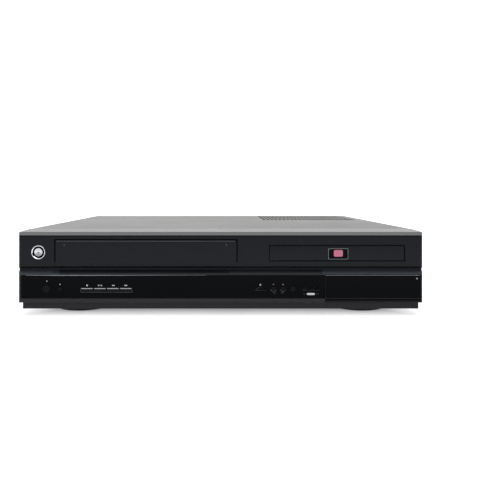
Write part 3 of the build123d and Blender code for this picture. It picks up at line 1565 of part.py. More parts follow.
def head_drum():
    """Rotating upper drum with its hub."""
    top = drum_rotor_height
    outer, inner = drum_cap_radius + drum_dish[0], drum_cap_radius + drum_dish[1]
    points = [(0, drum_gap), (drum_radius, drum_gap), (drum_radius, top - drum_edge),
              (drum_radius - drum_edge, top), (outer, top), (inner, top - drum_dish_deep),
              (drum_cap_radius, top - drum_dish_deep), (drum_cap_radius, top + drum_cap_rise),
              (0, top + drum_cap_rise)]
    return tilted(spun(points, 0, 0))


def capstan_at():
    """X and Y of the capstan."""
    return tape_x + capstan_x, behind(capstan_behind)


def capstan_motor():
    """Stator board under the deck with the capstan's bush."""
    x, y = capstan_at()
    top = deck_z
    plate = block((x - stator_half, x + stator_half), (y - stator_half, y + stator_half),
                  (top - stator_wall, top))
    bush = rod((x, y, top - stator_wall), bush_radius, bush_top - top + stator_wall)
    return plate + bush - rod((x, y, top - stator_wall - over), capstan_radius + spin_gap, bush_top)


def capstan():
    """Ground shaft with its flywheel."""
    x, y = capstan_at()
    low, high = flywheel_z
    dish = high - flywheel_dish
    hub = capstan_radius + flywheel_hub
    points = [(0, low), (flywheel_radius, low), (flywheel_radius, high), (flywheel_dish_radius, high),
              (flywheel_dish_radius, dish), (hub, dish), (hub, high), (capstan_radius, high),
              (capstan_radius, capstan_top), (0, capstan_top)]
    return spun(points, x, y)


def pinch_pivot_at():
    """X and Y of the pinch arm's pivot."""
    x, y = capstan_at()
    return x + pinch_pivot[0], y + pinch_pivot[1]


def pinch_roller_at():
    """X and Y of the roller at rest: the pressed place turned back about the pivot."""
    cx, cy = capstan_at()
    px, py = pinch_pivot_at()
    dx, dy = cx - px, cy + pinch_roller_radius + capstan_radius + loose_gap - py
    turn = radians(-pinch_turn)
    return px + dx * cos(turn) - dy * sin(turn), py + dx * sin(turn) + dy * cos(turn)


def pinch_arm():
    """Arm with its pivot bore and the roller's post."""
    px, py = pinch_pivot_at()
    rx, ry = pinch_roller_at()
    low, high = pinch_arm_z, pinch_arm_z + pinch_arm_wall
    outline = make_hull([*(Pos(px, py) * Circle(pinch_arm_radius)).edges(),
                         *(Pos(rx, ry) * Circle(pinch_arm_radius - pinch_arm_taper)).edges()])
    arm = extrude(Pos(0, 0, low) * outline, high - low)
    arm += rod((rx, ry, high), roller_post_radius, pinch_roller_z[1] - high + over)
    return arm - rod((px, py, low - over), pinch_post_radius + spin_gap, pinch_arm_wall + 2 * over)


def pinch_roller():
    """Rubber roller with a bore for its post."""
    rx, ry = pinch_roller_at()
    low, high = pinch_roller_z
    return tube((rx, ry, low), pinch_roller_radius, roller_post_radius + spin_gap, high - low)


def nodes():
    """Every node by name."""
    parts = {
        "bottom_chassis": bottom_chassis, "top_cover": top_cover, "rear_panel": rear_panel,
        "front_fascia": front_fascia, "gloss_panel": gloss_panel, "standby_ring": standby_ring,
        "standby_button": standby_button, "display_module": display_module, "feet": feet,
        "foot_pads": foot_pads, "case_screws": case_screws, "front_board": front_board,
        "main_board": main_board, "power_board": power_board, "power_transformer": transformer,
        "heat_sink": heat_sink, "capacitors": capacitors, "mains_inlet": mains_inlet,
        "phono_blocks": phono_blocks, "phono_barrels": phono_barrels,
        "aerial_terminals": aerial_terminals, "front_sockets": front_sockets,
        "cassette_door": tape_door, "socket_door": socket_door, "drive_bracket": drive_bracket,
        "drive_chassis": drive_chassis, "dvd_tray": dvd_tray, "tray_front": tray_front,
        "tray_gear": tray_gear, "clamp_bridge": clamp_bridge, "disc_clamper": disc_clamper,
        "traverse_frame": traverse_frame, "spindle_and_rods": spindle_and_rods,
        "disc_turntable": disc_turntable, "laser_sled": laser_sled, "sled_screw": sled_screw,
        "deck_plate": deck_plate, "side_frames": side_frames, "cassette_slider": cassette_slider,
        "cassette_holder": cassette_holder, "drum_base": drum_base, "head_drum": head_drum,
        "capstan_motor": capstan_motor, "capstan": capstan, "pinch_arm": pinch_arm,
        "pinch_roller": pinch_roller,
    }
    shapes = {name: build() for name, build in parts.items()}
    shapes["supply_reel"] = reel_table(-1)
    shapes["takeup_reel"] = reel_table(1)
    shapes.update(front_keys())
    return shapes


def main():
    """Build every node and write its file."""
    os.makedirs("parts", exist_ok=True)
    for name, shape in nodes().items():
        save(name, shape)


main()
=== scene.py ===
"""Dressed model of a disc and cassette player that stands on a shelf.

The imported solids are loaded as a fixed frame. Each sub-assembly is a class that finishes its own
solids and adds the pieces that they leave out. Everything is in metres, with the front facing -Y.
"""

import json
import logging
import math
from dataclasses import dataclass, field
from enum import Enum

import bmesh
import bpy
from bpy.types import (ID, Material, Node, NodeOutputs, NodeSocket, NodeTree, Object,
                       World)
from mathutils import Matrix, Vector

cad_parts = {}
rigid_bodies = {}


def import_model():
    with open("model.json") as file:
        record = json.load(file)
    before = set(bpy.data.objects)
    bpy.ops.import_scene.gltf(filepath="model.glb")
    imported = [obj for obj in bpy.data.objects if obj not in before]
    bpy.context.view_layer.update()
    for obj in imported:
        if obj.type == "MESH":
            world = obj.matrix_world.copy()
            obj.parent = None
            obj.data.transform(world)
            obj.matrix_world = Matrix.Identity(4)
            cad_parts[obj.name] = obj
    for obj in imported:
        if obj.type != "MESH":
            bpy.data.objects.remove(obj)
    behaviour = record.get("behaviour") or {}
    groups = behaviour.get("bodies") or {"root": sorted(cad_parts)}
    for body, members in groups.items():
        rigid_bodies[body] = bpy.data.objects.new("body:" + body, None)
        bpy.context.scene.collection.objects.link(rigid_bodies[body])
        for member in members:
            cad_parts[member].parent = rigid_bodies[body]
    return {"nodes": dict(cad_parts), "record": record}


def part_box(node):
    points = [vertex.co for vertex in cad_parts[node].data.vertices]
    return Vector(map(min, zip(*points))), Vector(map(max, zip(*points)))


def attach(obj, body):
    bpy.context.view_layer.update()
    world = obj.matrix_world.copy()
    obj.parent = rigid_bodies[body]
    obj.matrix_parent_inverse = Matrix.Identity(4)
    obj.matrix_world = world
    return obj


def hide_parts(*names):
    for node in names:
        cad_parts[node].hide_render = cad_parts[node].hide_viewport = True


for leftover in list(bpy.data.objects):
    bpy.data.objects.remove(leftover)
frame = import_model()

logging.basicConfig(level=logging.INFO, format="%(message)s")
log = logging.getLogger("player")

MM = 0.001

Colour = tuple[float, float, float]
Outline = list[tuple[float, float]]


class Slot(str, Enum):
    """Material slots of the record."""

    COVER = "cover_paint"
    BEZEL = "bezel_plastic"
    GLOSS = "gloss_black"
    RING = "ring_chrome"
    BUTTON = "button_metal"
    KEY_SILVER = "key_silver"
    KEY_BLACK = "key_black"
    PAN = "pan_steel"
    PLATE = "plate_steel"
    REAR = "rear_paint"
    FOOT = "foot_plastic"
    PAD = "pad_rubber"
    SCREW = "screw_black"
    BOARD = "circuit_board"
    DISPLAY = "display_glass"
    FERRITE = "ferrite"
    SINK = "sink_aluminium"
    SLEEVE = "capacitor_sleeve"
    SOCKET = "socket_plastic"
    NICKEL = "socket_nickel"
    TRAY = "tray_plastic"
    DRIVE = "drive_plastic"
    GEAR = "gear_plastic"
    TURNTABLE = "turntable_plastic"
    SLED = "sled_plastic"
    DRUM = "drum_aluminium"
    SHAFT = "shaft_steel"
    ROLLER = "roller_rubber"
    REEL = "reel_plastic"


def srgb(red: int, green: int, blue: int) -> Colour:
    """Linear colour of display values from 0 to 255.

    Args:
        red, green, blue: display values.

    Returns:
        The linear colour.
    """
    def linear(value: float) -> float:
        """One channel of it."""
        return value / 12.92 if value <= 0.04045 else ((value + 0.055) / 1.055) ** 2.4
    return linear(red / 255), linear(green / 255), linear(blue / 255)


# ---- shading -----------------------------------------------------
class Graph:
    """Short way to add and join the nodes of one tree."""

    def __init__(self, tree: NodeTree) -> None:
        """Take over a tree.

        Args:
            tree: the tree to wire.
        """
        self.tree = tree

    def add(self, kind: str, settings: dict | None = None, **inputs: object) -> Node:
        """Add a node.

        Args:
            kind: Blender's type name.
            settings: attributes of the node.
            inputs: input sockets by name, with spaces as underscores; a socket is joined to it
                and anything else is its value.

        Returns:
            The node.
        """
        node = self.tree.nodes.new(kind)
        for key, value in (settings or {}).items():
            setattr(node, key, value)
        for key, value in inputs.items():
            self.put(node.inputs[key.replace("_", " ")], value)
        return node

    def put(self, socket: NodeSocket, value: object) -> None:
        """Join a socket to an input, or set its value.

        Args:
            socket: the input.
            value: a socket, or a value; a colour may leave out its alpha.
        """
        if isinstance(value, NodeSocket):
            self.tree.links.new(value, socket)
        elif isinstance(value, tuple) and len(value) == 3 and socket.type == "RGBA":
            socket.default_value = (*value, 1.0)
        else:
            socket.default_value = value

    def math(self, operation: str, first: object, second: object = 0.0) -> NodeSocket:
        """Add a Math node.

        Args:
            operation: Blender's name for what it does.
            first, second: sockets or numbers.

        Returns:
            Its result.
        """
        node = self.add("ShaderNodeMath", {"operation": operation})
        self.put(node.inputs[0], first)
        self.put(node.inputs[1], second)
        return node.outputs[0]

    def times(self, first: object, *others: object) -> object:
        """Multiply values.

        Args:
            first, others: sockets or numbers.

        Returns:
            Their product.
        """
        for other in others:
            first = self.math("MULTIPLY", first, other)
        return first

    def weigh(self, first: object, second: object, share: float) -> object:
        """Sum of two values, the first with a share and the second with the rest of 1."""
        return self.math("ADD", self.times(first, share), self.times(second, 1 - share))

    def ramp(self, value: object, start: float, end: float, low: float = 0.0,
             high: float = 1.0) -> NodeSocket:
        """Map a value from start..end to low..high, clamped.

        Args:
            value: a socket or a number.
            start, end: the range that is read.
            low, high: what its two ends become.

        Returns:
            The mapped value.
        """
        node = self.add("ShaderNodeMapRange")
        for socket, item in zip(node.inputs, (value, start, end, low, high)):
            self.put(socket, item)
        return node.outputs[0]

    def mix(self, factor: object, first: object, second: object) -> NodeSocket:
        """Blend two colours.

        Args:
            factor: 0 for the first and 1 for the second.
            first, second: the colours.

        Returns:
            The blend.
        """
        node = self.add("ShaderNodeMix", {"data_type": "RGBA"})
        for key, value in (("Factor", factor), (6, first), (7, second)):
            self.put(node.inputs[key], value)
        return node.outputs[2]

    def noise(self, vector: object, scale: object, detail: float) -> NodeSocket:
        """Height of cloudy noise."""
        made = self.add("ShaderNodeTexNoise", Vector=vector, Scale=scale, Detail=detail)
        return made.outputs["Fac"]

    def split(self, vector: object) -> NodeOutputs:
        """X, Y and Z of a vector."""
        return self.add("ShaderNodeSeparateXYZ", Vector=vector).outputs

    def here(self) -> NodeSocket:
        """Place of the shaded point in the frame."""
        return self.add("ShaderNodeTexCoord").outputs["Object"]

    def geometry(self, name: str) -> NodeSocket:
        """One output of the surface's own geometry."""
        return self.add("ShaderNodeNewGeometry").outputs[name]


def emptied(owner: Material | World) -> Graph:
    """Clear the nodes of a new material or world.

    Args:
        owner: the material or world.

    Returns:
        Its tree, ready to wire.
    """
    owner.use_nodes = True
    owner.node_tree.nodes.clear()
    return Graph(owner.node_tree)


@dataclass(frozen=True)
class Effect:
    """A shader effect that several finishes share, kept as one node group.

    Attributes:
        name: the group's name.
        inputs: its input names and default values, after the vector.
        outputs: its output names.
    """

    name: str
    inputs: tuple[tuple[str, float], ...]
    outputs: tuple[str, ...]

    def tree(self) -> NodeTree:
        """Make the group on first use.

        Returns:
            The group.
        """
        if self.name in bpy.data.node_groups:
            return bpy.data.node_groups[self.name]
        made = bpy.data.node_groups.new(self.name, "ShaderNodeTree")
        made.interface.new_socket("Vector", in_out="INPUT", socket_type="NodeSocketVector")
        for name, value in self.inputs:
            socket = made.interface.new_socket(name, in_out="INPUT", socket_type="NodeSocketFloat")
            socket.default_value = value
        for name in self.outputs:
            made.interface.new_socket(name, in_out="OUTPUT", socket_type="NodeSocketFloat")
        graph = Graph(made)
        source = graph.add("NodeGroupInput")
        sink = graph.add("NodeGroupOutput")
        for name, value in self.wire(graph, source.outputs).items():
            graph.put(sink.inputs[name], value)
        return made

    def wire(self, graph: Graph, given: NodeOutputs) -> dict[str, object]:
        """Wire the inside.

        Args:
            graph: the group's nodes.
            given: the group's inputs.

        Returns:
            A socket for each output.
        """
        raise NotImplementedError

    def place(self, graph: Graph, vector: object, **values: object) -> NodeOutputs:
        """Put the effect in a material with its own values.

        Args:
            graph: the material's nodes.
            vector: where the effect is read.
            values: its inputs by name.

        Returns:
            The effect's outputs.
        """
        node = graph.add("ShaderNodeGroup", {"node_tree": self.tree()}, Vector=vector, **values)
        return node.outputs


class Grain(Effect):
    """Spark-eroded grain of a mould: rounded pits on a finer noise.

    Attributes:
        FINER: how much finer the noise is.
        PITS: the pits' share of the height.
    """

    FINER = 2.3
    PITS = 0.6

    def wire(self, graph: Graph, given: NodeOutputs) -> dict[str, object]:
        """Wire the pits and the noise. See Effect.wire."""
        pits = graph.add("ShaderNodeTexVoronoi", {"feature": "SMOOTH_F1"},
                         Vector=given["Vector"], Scale=given["Scale"])
        noise = graph.noise(given["Vector"], graph.times(given["Scale"], self.FINER), detail=3.0)
        return {"Height": graph.weigh(pits.outputs["Distance"], noise, self.PITS)}


class Mottle(Effect):
    """Slow uneven tone, as handling and flow leave on a moulding or a sheet.

    Attributes:
        FINER: how much finer the small clouds are.
        WIDE: the wide clouds' share.
        RANGE: the values that become the two ends of the tone.
    """

    FINER = 9.0
    WIDE = 0.65
    RANGE = (0.35, 0.65)

    def wire(self, graph: Graph, given: NodeOutputs) -> dict[str, object]:
        """Wire two sizes of cloud. See Effect.wire."""
        wide = graph.noise(given["Vector"], given["Scale"], detail=2.0)
        fine = graph.noise(given["Vector"], graph.times(given["Scale"], self.FINER), detail=4.0)
        return {"Tone": graph.ramp(graph.weigh(wide, fine, self.WIDE), *self.RANGE)}


class Lay(Effect):
    """Fine parallel lines that rolling or brushing leaves, along X.

    Attributes:
        STRETCH: what the vector is multiplied by.
        RANGE: the heights that become the two ends of the tone.
    """

    STRETCH = (0.02, 1.0, 1.0)
    RANGE = (0.3, 0.7)

    def wire(self, graph: Graph, given: NodeOutputs) -> dict[str, object]:
        """Wire stretched noise. See Effect.wire."""
        stretched = graph.add("ShaderNodeVectorMath", {"operation": "MULTIPLY"})
        for socket, value in zip(stretched.inputs, (given["Vector"], self.STRETCH)):
            graph.put(socket, value)
        lines = graph.noise(stretched.outputs[0], given["Scale"], detail=5.0)
        return {"Height": lines, "Tone": graph.ramp(lines, *self.RANGE)}


class Dust(Effect):
    """Specks that settle on what faces up.

    Attributes:
        UP: how far up a face looks, from where dust starts to where it is full.
        SPECKS: the noise that becomes bare and covered.
    """

    UP = (0.6, 1.0)
    SPECKS = (0.5, 0.8)

    def wire(self, graph: Graph, given: NodeOutputs) -> dict[str, object]:
        """Wire the up-facing mask and its specks. See Effect.wire."""
        up = graph.ramp(graph.split(graph.geometry("Normal"))["Z"], *self.UP)
        cloud = graph.noise(given["Vector"], given["Scale"], detail=6.0)
        specks = graph.ramp(cloud, *self.SPECKS)
        return {"Mask": graph.times(up, specks, given["Amount"])}


class Wear(Effect):
    """Outer edges, where a finish is rubbed thin.

    Attributes:
        EDGE: how pointed a place is, from where wear starts to where it is full.
        BROKEN: the noise that breaks it up.
    """

    EDGE = (0.52, 0.62)
    BROKEN = (0.3, 0.7)

    def wire(self, graph: Graph, given: NodeOutputs) -> dict[str, object]:
        """Wire the edge mask, broken up by noise. See Effect.wire."""
        edge = graph.ramp(graph.geometry("Pointiness"), *self.EDGE)
        cloud = graph.noise(given["Vector"], given["Scale"], detail=3.0)
        broken = graph.ramp(cloud, *self.BROKEN)
        return {"Mask": graph.times(edge, broken, given["Amount"])}


GRAIN = Grain("mould_grain", (("Scale", 900.0),), ("Height",))
MOTTLE = Mottle("slow_mottle", (("Scale", 12.0),), ("Tone",))
LAY = Lay("rolling_lay", (("Scale", 2500.0),), ("Height", "Tone"))
DUST = Dust("settled_dust", (("Scale", 1500.0), ("Amount", 0.1)), ("Mask",))
WEAR = Wear("edge_wear", (("Scale", 200.0), ("Amount", 0.3)), ("Mask",))
DUST_COLOUR = srgb(168, 162, 150)


@dataclass(frozen=True)
class Finish:
    """A surface finish, and what all of them share.

    Attributes:
        name: what it is called.
        colour: main colour.
        second: the colour that the mottle drifts to.
        rough: roughness at the mottle's two ends.
        metallic: 1 for bare metal.
        specular: strength of the plain reflection.
        coat_rough: roughness of the coat.
        spread: scale of the mottle.
        dust: how much dust lies on it.
        worn: colour of its worn edges.
        wear: how much of that shows.
    """

    name: str
    colour: Colour
    second: Colour
    rough: tuple[float, float] = (0.35, 0.5)
    metallic: float = 0.0
    specular: float = 0.5
    coat_rough: float = 0.05
    spread: float = 12.0
    dust: float = 0.05
    worn: Colour = (0.3, 0.3, 0.3)
    wear: float = 0.0

    def build(self) -> Material:
        """Make the material on first use.

        Returns:
            The material.
        """
        title = self.name + "_finish"
        if title in bpy.data.materials:
            return bpy.data.materials[title]
        made = bpy.data.materials.new(title)
        graph = emptied(made)
        vector = graph.here()
        tone = MOTTLE.place(graph, vector, Scale=self.spread)["Tone"]
        colour = self.tint(graph, vector, graph.mix(tone, self.colour, self.second))
        if self.wear:
            rubbed = WEAR.place(graph, vector, Amount=self.wear)["Mask"]
            colour = graph.mix(rubbed, colour, self.worn)
        specks = DUST.place(graph, vector, Amount=self.dust)["Mask"]
        shader = graph.add("ShaderNodeBsdfPrincipled", Metallic=self.metallic,
                           Base_Color=graph.mix(specks, colour, DUST_COLOUR),
                           Roughness=graph.ramp(tone, 0, 1, *self.rough),
                           Specular_IOR_Level=self.specular, Coat_Roughness=self.coat_rough)
        relief = self.relief(graph, vector)
        if relief:
            height, depth = relief
            bump = graph.add("ShaderNodeBump", Height=height, Strength=1.0, Distance=depth)
            graph.put(shader.inputs["Normal"], bump.outputs[0])
        self.light(graph, shader)
        graph.add("ShaderNodeOutputMaterial", Surface=shader.outputs[0])
        return made

    def tint(self, graph: Graph, vector: object, base: object) -> object:
        """Colour pattern over the base.

        Args:
            graph: the material's nodes.
            vector: where the pattern is read.
            base: the colour so far.

        Returns:
            The new colour.
        """
        return base

    def relief(self, graph: Graph, vector: object) -> tuple[object, float] | None:
        """Height of the surface.

        Args:
            graph: the material's nodes.
            vector: where the relief is read.

        Returns:
            A height socket and its depth in metres, or None.
        """
        return None

    def light(self, graph: Graph, shader: Node) -> None:
        """Set what a glowing or clear finish adds to the shader."""


@dataclass(frozen=True)
class Moulded(Finish):
    """Moulded plastic or rubber with a fine grain.

    Attributes:
        grain: height of the grain.
        grain_scale: how fine it is.
    """

    grain: float = 0.00002
    grain_scale: float = 1400.0

    def relief(self, graph: Graph, vector: object) -> tuple[object, float] | None:
        """Grain of the mould. See Finish.relief."""
        return GRAIN.place(graph, vector, Scale=self.grain_scale)["Height"], self.grain


@dataclass(frozen=True)
class FasciaPlastic(Moulded):
    """Moulded front, polished along its top edge, with painted light making its waist and skirt
    lighter.

    Attributes:
        edge: height above which it is polished.
        brow: height above which the polish is thinner.
        brow_polish: how much of it is left there.
        waist: heights between which it is rolled back.
        facing: X between which the waist gets no painted light and stays as dark as the panel.
        skirt: height below which the skirt starts.
        waist_painted_light, skirt_painted_light: their colours.
        fade: half of the width over which one turns into the other.
    """

    edge: float = 0.0862
    brow: float = 0.0899
    brow_polish: float = 0.55
    waist: tuple[float, float] = (0.0438, 0.0494)
    facing: tuple[float, float] = (-0.1723, 0.1085)
    skirt: float = 0.0192
    waist_painted_light: Colour = srgb(42, 47, 54)
    skirt_painted_light: Colour = srgb(44, 44, 48)
    fade: float = 0.0002

    def tint(self, graph: Graph, vector: object, base: object) -> object:
        """Paint light on the waist and skirt over the base, as lighter colours. See Finish.tint."""
        parts = graph.split(vector)

        def past(axis: str, limit: float, *ends: float) -> object:
            """Value that fades from 0 to 1, or from end to end, where a place passes a limit."""
            return graph.ramp(parts[axis], limit - self.fade, limit + self.fade, *ends)

        # painted light: the waist outside the panel's span and the whole skirt are coloured lighter
        # than the face
        level = graph.times(past("Z", self.waist[0]), past("Z", self.waist[1], 1, 0))
        outside = graph.math("MAXIMUM", past("X", self.facing[0], 1, 0), past("X", self.facing[1]))
        colour = graph.mix(graph.times(level, outside), base, self.waist_painted_light)
        return graph.mix(past("Z", self.skirt, 1, 0), colour, self.skirt_painted_light)

    def light(self, graph: Graph, shader: Node) -> None:
        """Polish the top edge. See Finish.light."""
        height = graph.split(graph.here())["Z"]
        polish = graph.ramp(height, self.edge, self.edge + 2 * self.fade)
        thinner = graph.ramp(height, self.brow, self.brow + self.fade, 1, self.brow_polish)
        graph.put(shader.inputs["Coat Weight"], graph.times(polish, thinner))


@dataclass(frozen=True)
class Polished(Finish):
    """Polished plastic or plating with only the faintest waviness.

    Attributes:
        wave: height of the waviness.
        wave_scale: how fine it is.
    """

    wave: float = 0.00001
    wave_scale: float = 60.0

    def relief(self, graph: Graph, vector: object) -> tuple[object, float] | None:
        """Slow waviness of a polished face. See Finish.relief."""
        return MOTTLE.place(graph, vector, Scale=self.wave_scale)["Tone"], self.wave


@dataclass(frozen=True)
class Sheet(Finish):
    """Rolled sheet or brushed metal with a lay along X.

    Attributes:
        lay: height of the lay.
        lay_scale: how fine it is.
        contrast: how strongly the second colour shows in it.
    """

    lay: float = 0.000006
    lay_scale: float = 1800.0
    contrast: float = 0.35

    def tint(self, graph: Graph, vector: object, base: object) -> object:
        """Darker lines of the lay. See Finish.tint."""
        tone = LAY.place(graph, vector, Scale=self.lay_scale)["Tone"]
        return graph.mix(graph.times(tone, self.contrast), base, self.second)

    def relief(self, graph: Graph, vector: object) -> tuple[object, float] | None:
        """Height of the lay. See Finish.relief."""
        return LAY.place(graph, vector, Scale=self.lay_scale)["Height"], self.lay


@dataclass(frozen=True)
class Galvanised(Sheet):
    """Zinc-coated steel, with its spangle over the rolling lay.

    Attributes:
        contrast: how strongly the second colour shows in the crystals.
        crystals: how many there are to a metre.
    """

    lay: float = 0.000005
    lay_scale: float = 1200.0
    contrast: float = 0.6
    crystals: float = 120.0

    def tint(self, graph: Graph, vector: object, base: object) -> object:
        """Crystals of the zinc, each with its own tone. See Finish.tint."""
        cells = graph.add("ShaderNodeTexVoronoi", Vector=vector, Scale=self.crystals)
        shade = graph.split(cells.outputs["Color"])["X"]
        return graph.mix(graph.times(shade, self.contrast), base, self.second)


@dataclass(frozen=True)
class Spun(Finish):
    """Metal turned to fine rings about an axis along Y.

    Attributes:
        centre: X and Z of the axis.
        rings: rings per metre.
        ridge: height of a ring.
        bright: radius of the bright face.
        blur: the part of that radius over which the painted shade at the rim starts.
        rim: colour of the rim, painted shade of the gap between the button and its ring.
        stretch: how far the highlight is drawn out across the rings.
        turn: the highlight's direction, as a part of a whole turn.
    """

    centre: tuple[float, float] = (0.0, 0.0)
    rings: float = 6000.0
    ridge: float = 0.000002
    bright: float = 0.0043
    blur: float = 0.02
    rim: Colour = srgb(8, 8, 9)
    stretch: float = 0.85
    turn: float = 0.25

    def tint(self, graph: Graph, vector: object, base: object) -> object:
        """Blacken the rim as painted shade of the gap to the ring. See Finish.tint."""
        edge = self.bright * self.rings
        away = self.turning(graph, vector)
        # painted shade: the rim of the button face is blackened where the gap to the ring lies
        rim = graph.ramp(away, edge * (1 - self.blur), edge * (1 + self.blur))
        return graph.mix(rim, base, self.rim)

    def turning(self, graph: Graph, vector: object) -> object:
        """Find how far a place is from the axis.

        Args:
            graph: the material's nodes.
            vector: the place.

        Returns:
            The distance, in rings.
        """
        parts = graph.split(vector)
        squares = []
        for axis, centre in zip("XZ", self.centre):
            away = graph.math("SUBTRACT", parts[axis], centre)
            squares.append(graph.times(away, away))
        return graph.times(graph.math("SQRT", graph.math("ADD", *squares)), self.rings)

    def relief(self, graph: Graph, vector: object) -> tuple[object, float] | None:
        """Ridges of the turning. See Finish.relief."""
        return graph.math("SINE", self.turning(graph, vector)), self.ridge

    def light(self, graph: Graph, shader: Node) -> None:
        """Stretch the highlight across the rings. See Finish.light."""
        tangent = graph.add("ShaderNodeTangent", {"direction_type": "RADIAL", "axis": "Y"})
        for name, value in (("Anisotropic", self.stretch), ("Anisotropic Rotation", self.turn),
                            ("Tangent", tangent.outputs[0])):
            graph.put(shader.inputs[name], value)


@dataclass(frozen=True)
class Printed(Finish):
    """Bare circuit board: lacquer over copper tracks, with tinned pads.

    Attributes:
        tracks, pads: how many to a metre.
        track: width of a track, as the texture counts it.
        pad: size of a pad, from full to none.
        track_show, pad_show: how strongly they show.
        tin: colour of the pads.
    """

    tracks: float = 260.0
    track: float = 0.035
    track_show: float = 0.55
    pads: float = 330.0
    pad: tuple[float, float] = (0.12, 0.2)
    pad_show: float = 0.8
    tin: Colour = srgb(176, 170, 150)

    def tint(self, graph: Graph, vector: object, base: object) -> object:
        """Tracks and pads. See Finish.tint."""
        tracks = graph.add("ShaderNodeTexBrick", {"offset": 0.37, "squash": 0.6}, Vector=vector,
                           Scale=self.tracks, Mortar_Size=self.track)
        laid = graph.mix(graph.times(tracks.outputs["Fac"], self.track_show), base, self.second)
        pads = graph.add("ShaderNodeTexVoronoi", Vector=vector, Scale=self.pads)
        dots = graph.ramp(pads.outputs["Distance"], *self.pad, 1, 0)
        return graph.mix(graph.times(dots, self.pad_show), laid, self.tin)


FINISHES: dict[Slot, Finish] = {Slot(finish.name): finish for finish in (
    Moulded("cover_paint", srgb(47, 45, 43), srgb(55, 52, 49), (0.27, 0.33), specular=0.5,
        spread=6.0, dust=0.06, grain=0.000003, grain_scale=1900.0),
    FasciaPlastic("bezel_plastic", srgb(21, 23, 27), srgb(25, 27, 31), (0.24, 0.3),
        specular=0.1, coat_rough=0.2, spread=8.0, dust=0.03, grain=0.000006,
        grain_scale=2400.0),
    Polished("gloss_black", srgb(3, 4, 6), srgb(5, 6, 9), (0.03, 0.06), specular=0.035,
        spread=9.0, dust=0.02, wave=0.000002),
    Polished("ring_chrome", srgb(205, 207, 211), srgb(190, 193, 198), (0.08, 0.14),
        metallic=1.0, dust=0.0),
    Spun("button_metal", srgb(188, 190, 194), srgb(172, 174, 179), (0.22, 0.3),
        metallic=1.0, dust=0.0, centre=(-0.1931, 0.0684)),
    Polished("key_silver", srgb(150, 154, 160), srgb(138, 142, 148), (0.24, 0.32),
        metallic=0.85, dust=0.0),
    Polished("key_black", srgb(6, 7, 9), srgb(9, 10, 12), (0.12, 0.18),
        specular=0.07, dust=0.02),
    Galvanised("pan_steel", srgb(176, 178, 180), srgb(142, 145, 149), (0.32, 0.42),
        metallic=0.9, dust=0.1),
    Galvanised("plate_steel", srgb(186, 188, 190), srgb(158, 161, 165), (0.26, 0.36),
        metallic=0.95, dust=0.05),
    Moulded("rear_paint", srgb(34, 35, 37), srgb(40, 41, 43), (0.42, 0.5), spread=8.0,
        dust=0.04, grain=0.000012, grain_scale=1700.0),
    Moulded("foot_plastic", srgb(40, 41, 44), srgb(46, 47, 50), (0.4, 0.5), specular=0.2,
        dust=0.02),
    Moulded("pad_rubber", srgb(20, 20, 21), srgb(28, 28, 29), (0.75, 0.9), specular=0.1,
        grain=0.00004, grain_scale=900.0),
    Polished("screw_black", srgb(38, 38, 40), srgb(52, 52, 54), (0.3, 0.4), metallic=0.7,
        worn=srgb(150, 150, 150), wear=0.5),
    Printed("circuit_board", srgb(30, 84, 48), srgb(54, 118, 66), (0.3, 0.42), dust=0.1),
    Polished("display_glass", srgb(12, 22, 24), srgb(14, 28, 30), (0.05, 0.1)),
    Moulded("ferrite", srgb(48, 46, 46), srgb(60, 58, 56), (0.6, 0.75), grain=0.00005),
    Sheet("sink_aluminium", srgb(150, 152, 155), srgb(128, 130, 134), (0.35, 0.45),
        metallic=1.0),
    Polished("capacitor_sleeve", srgb(20, 22, 40), srgb(26, 28, 48), (0.2, 0.3)),
    Moulded("socket_plastic", srgb(24, 24, 26), srgb(30, 30, 32), (0.35, 0.45)),
    Sheet("socket_nickel", srgb(196, 192, 184), srgb(176, 172, 164), (0.18, 0.26),
        metallic=1.0),
    Moulded("tray_plastic", srgb(24, 25, 28), srgb(29, 30, 33), (0.3, 0.38), specular=0.15,
        grain=0.000006),
    Moulded("drive_plastic", srgb(38, 39, 41), srgb(46, 47, 49), (0.45, 0.55)),
    Moulded("gear_plastic", srgb(226, 222, 210), srgb(212, 208, 194), (0.35, 0.5),
        grain=0.000008),
    Moulded("turntable_plastic", srgb(44, 45, 47), srgb(52, 53, 55), (0.4, 0.5)),
    Moulded("sled_plastic", srgb(58, 60, 64), srgb(70, 72, 76), (0.4, 0.5)),
    Sheet("drum_aluminium", srgb(206, 208, 210), srgb(186, 188, 192), (0.12, 0.2),
        metallic=1.0, lay_scale=900.0),
    Sheet("shaft_steel", srgb(208, 208, 208), srgb(186, 186, 188), (0.12, 0.2), metallic=1.0),
    Moulded("roller_rubber", srgb(28, 28, 28), srgb(36, 36, 36), (0.6, 0.75), specular=0.3),
    Moulded("reel_plastic", srgb(208, 206, 200), srgb(194, 192, 186), (0.35, 0.45)),
)}
# Finishes for bevel faces, coloured lighter than the faces that they round: a painted highlight
# along the edges, over a stronger real reflection.
EDGE = Moulded("bezel_edge_highlight", srgb(38, 40, 44), srgb(44, 46, 50), (0.22, 0.28),
               dust=0.0, grain=0.000004)
GLOSS_EDGE_HIGHLIGHT = Polished("gloss_edge_highlight", srgb(8, 9, 12), srgb(12, 13, 16), (0.14, 0.2),
                      dust=0.0, wave=0.000001)
EDGE_HIGHLIGHTS: dict[Slot, Finish] = {Slot.BEZEL: EDGE, Slot.TRAY: EDGE, Slot.GLOSS: GLOSS_EDGE_HIGHLIGHT,
                             Slot.KEY_BLACK: GLOSS_EDGE_HIGHLIGHT}
# Near-black strip round the cassette opening: a painted shadow of the gap round the door.
SHADOW_RIM = Moulded("opening_painted_shadow", srgb(0, 0, 1), srgb(2, 2, 3), (0.7, 0.85),
                     specular=0.0, dust=0.0, grain=0.000003)
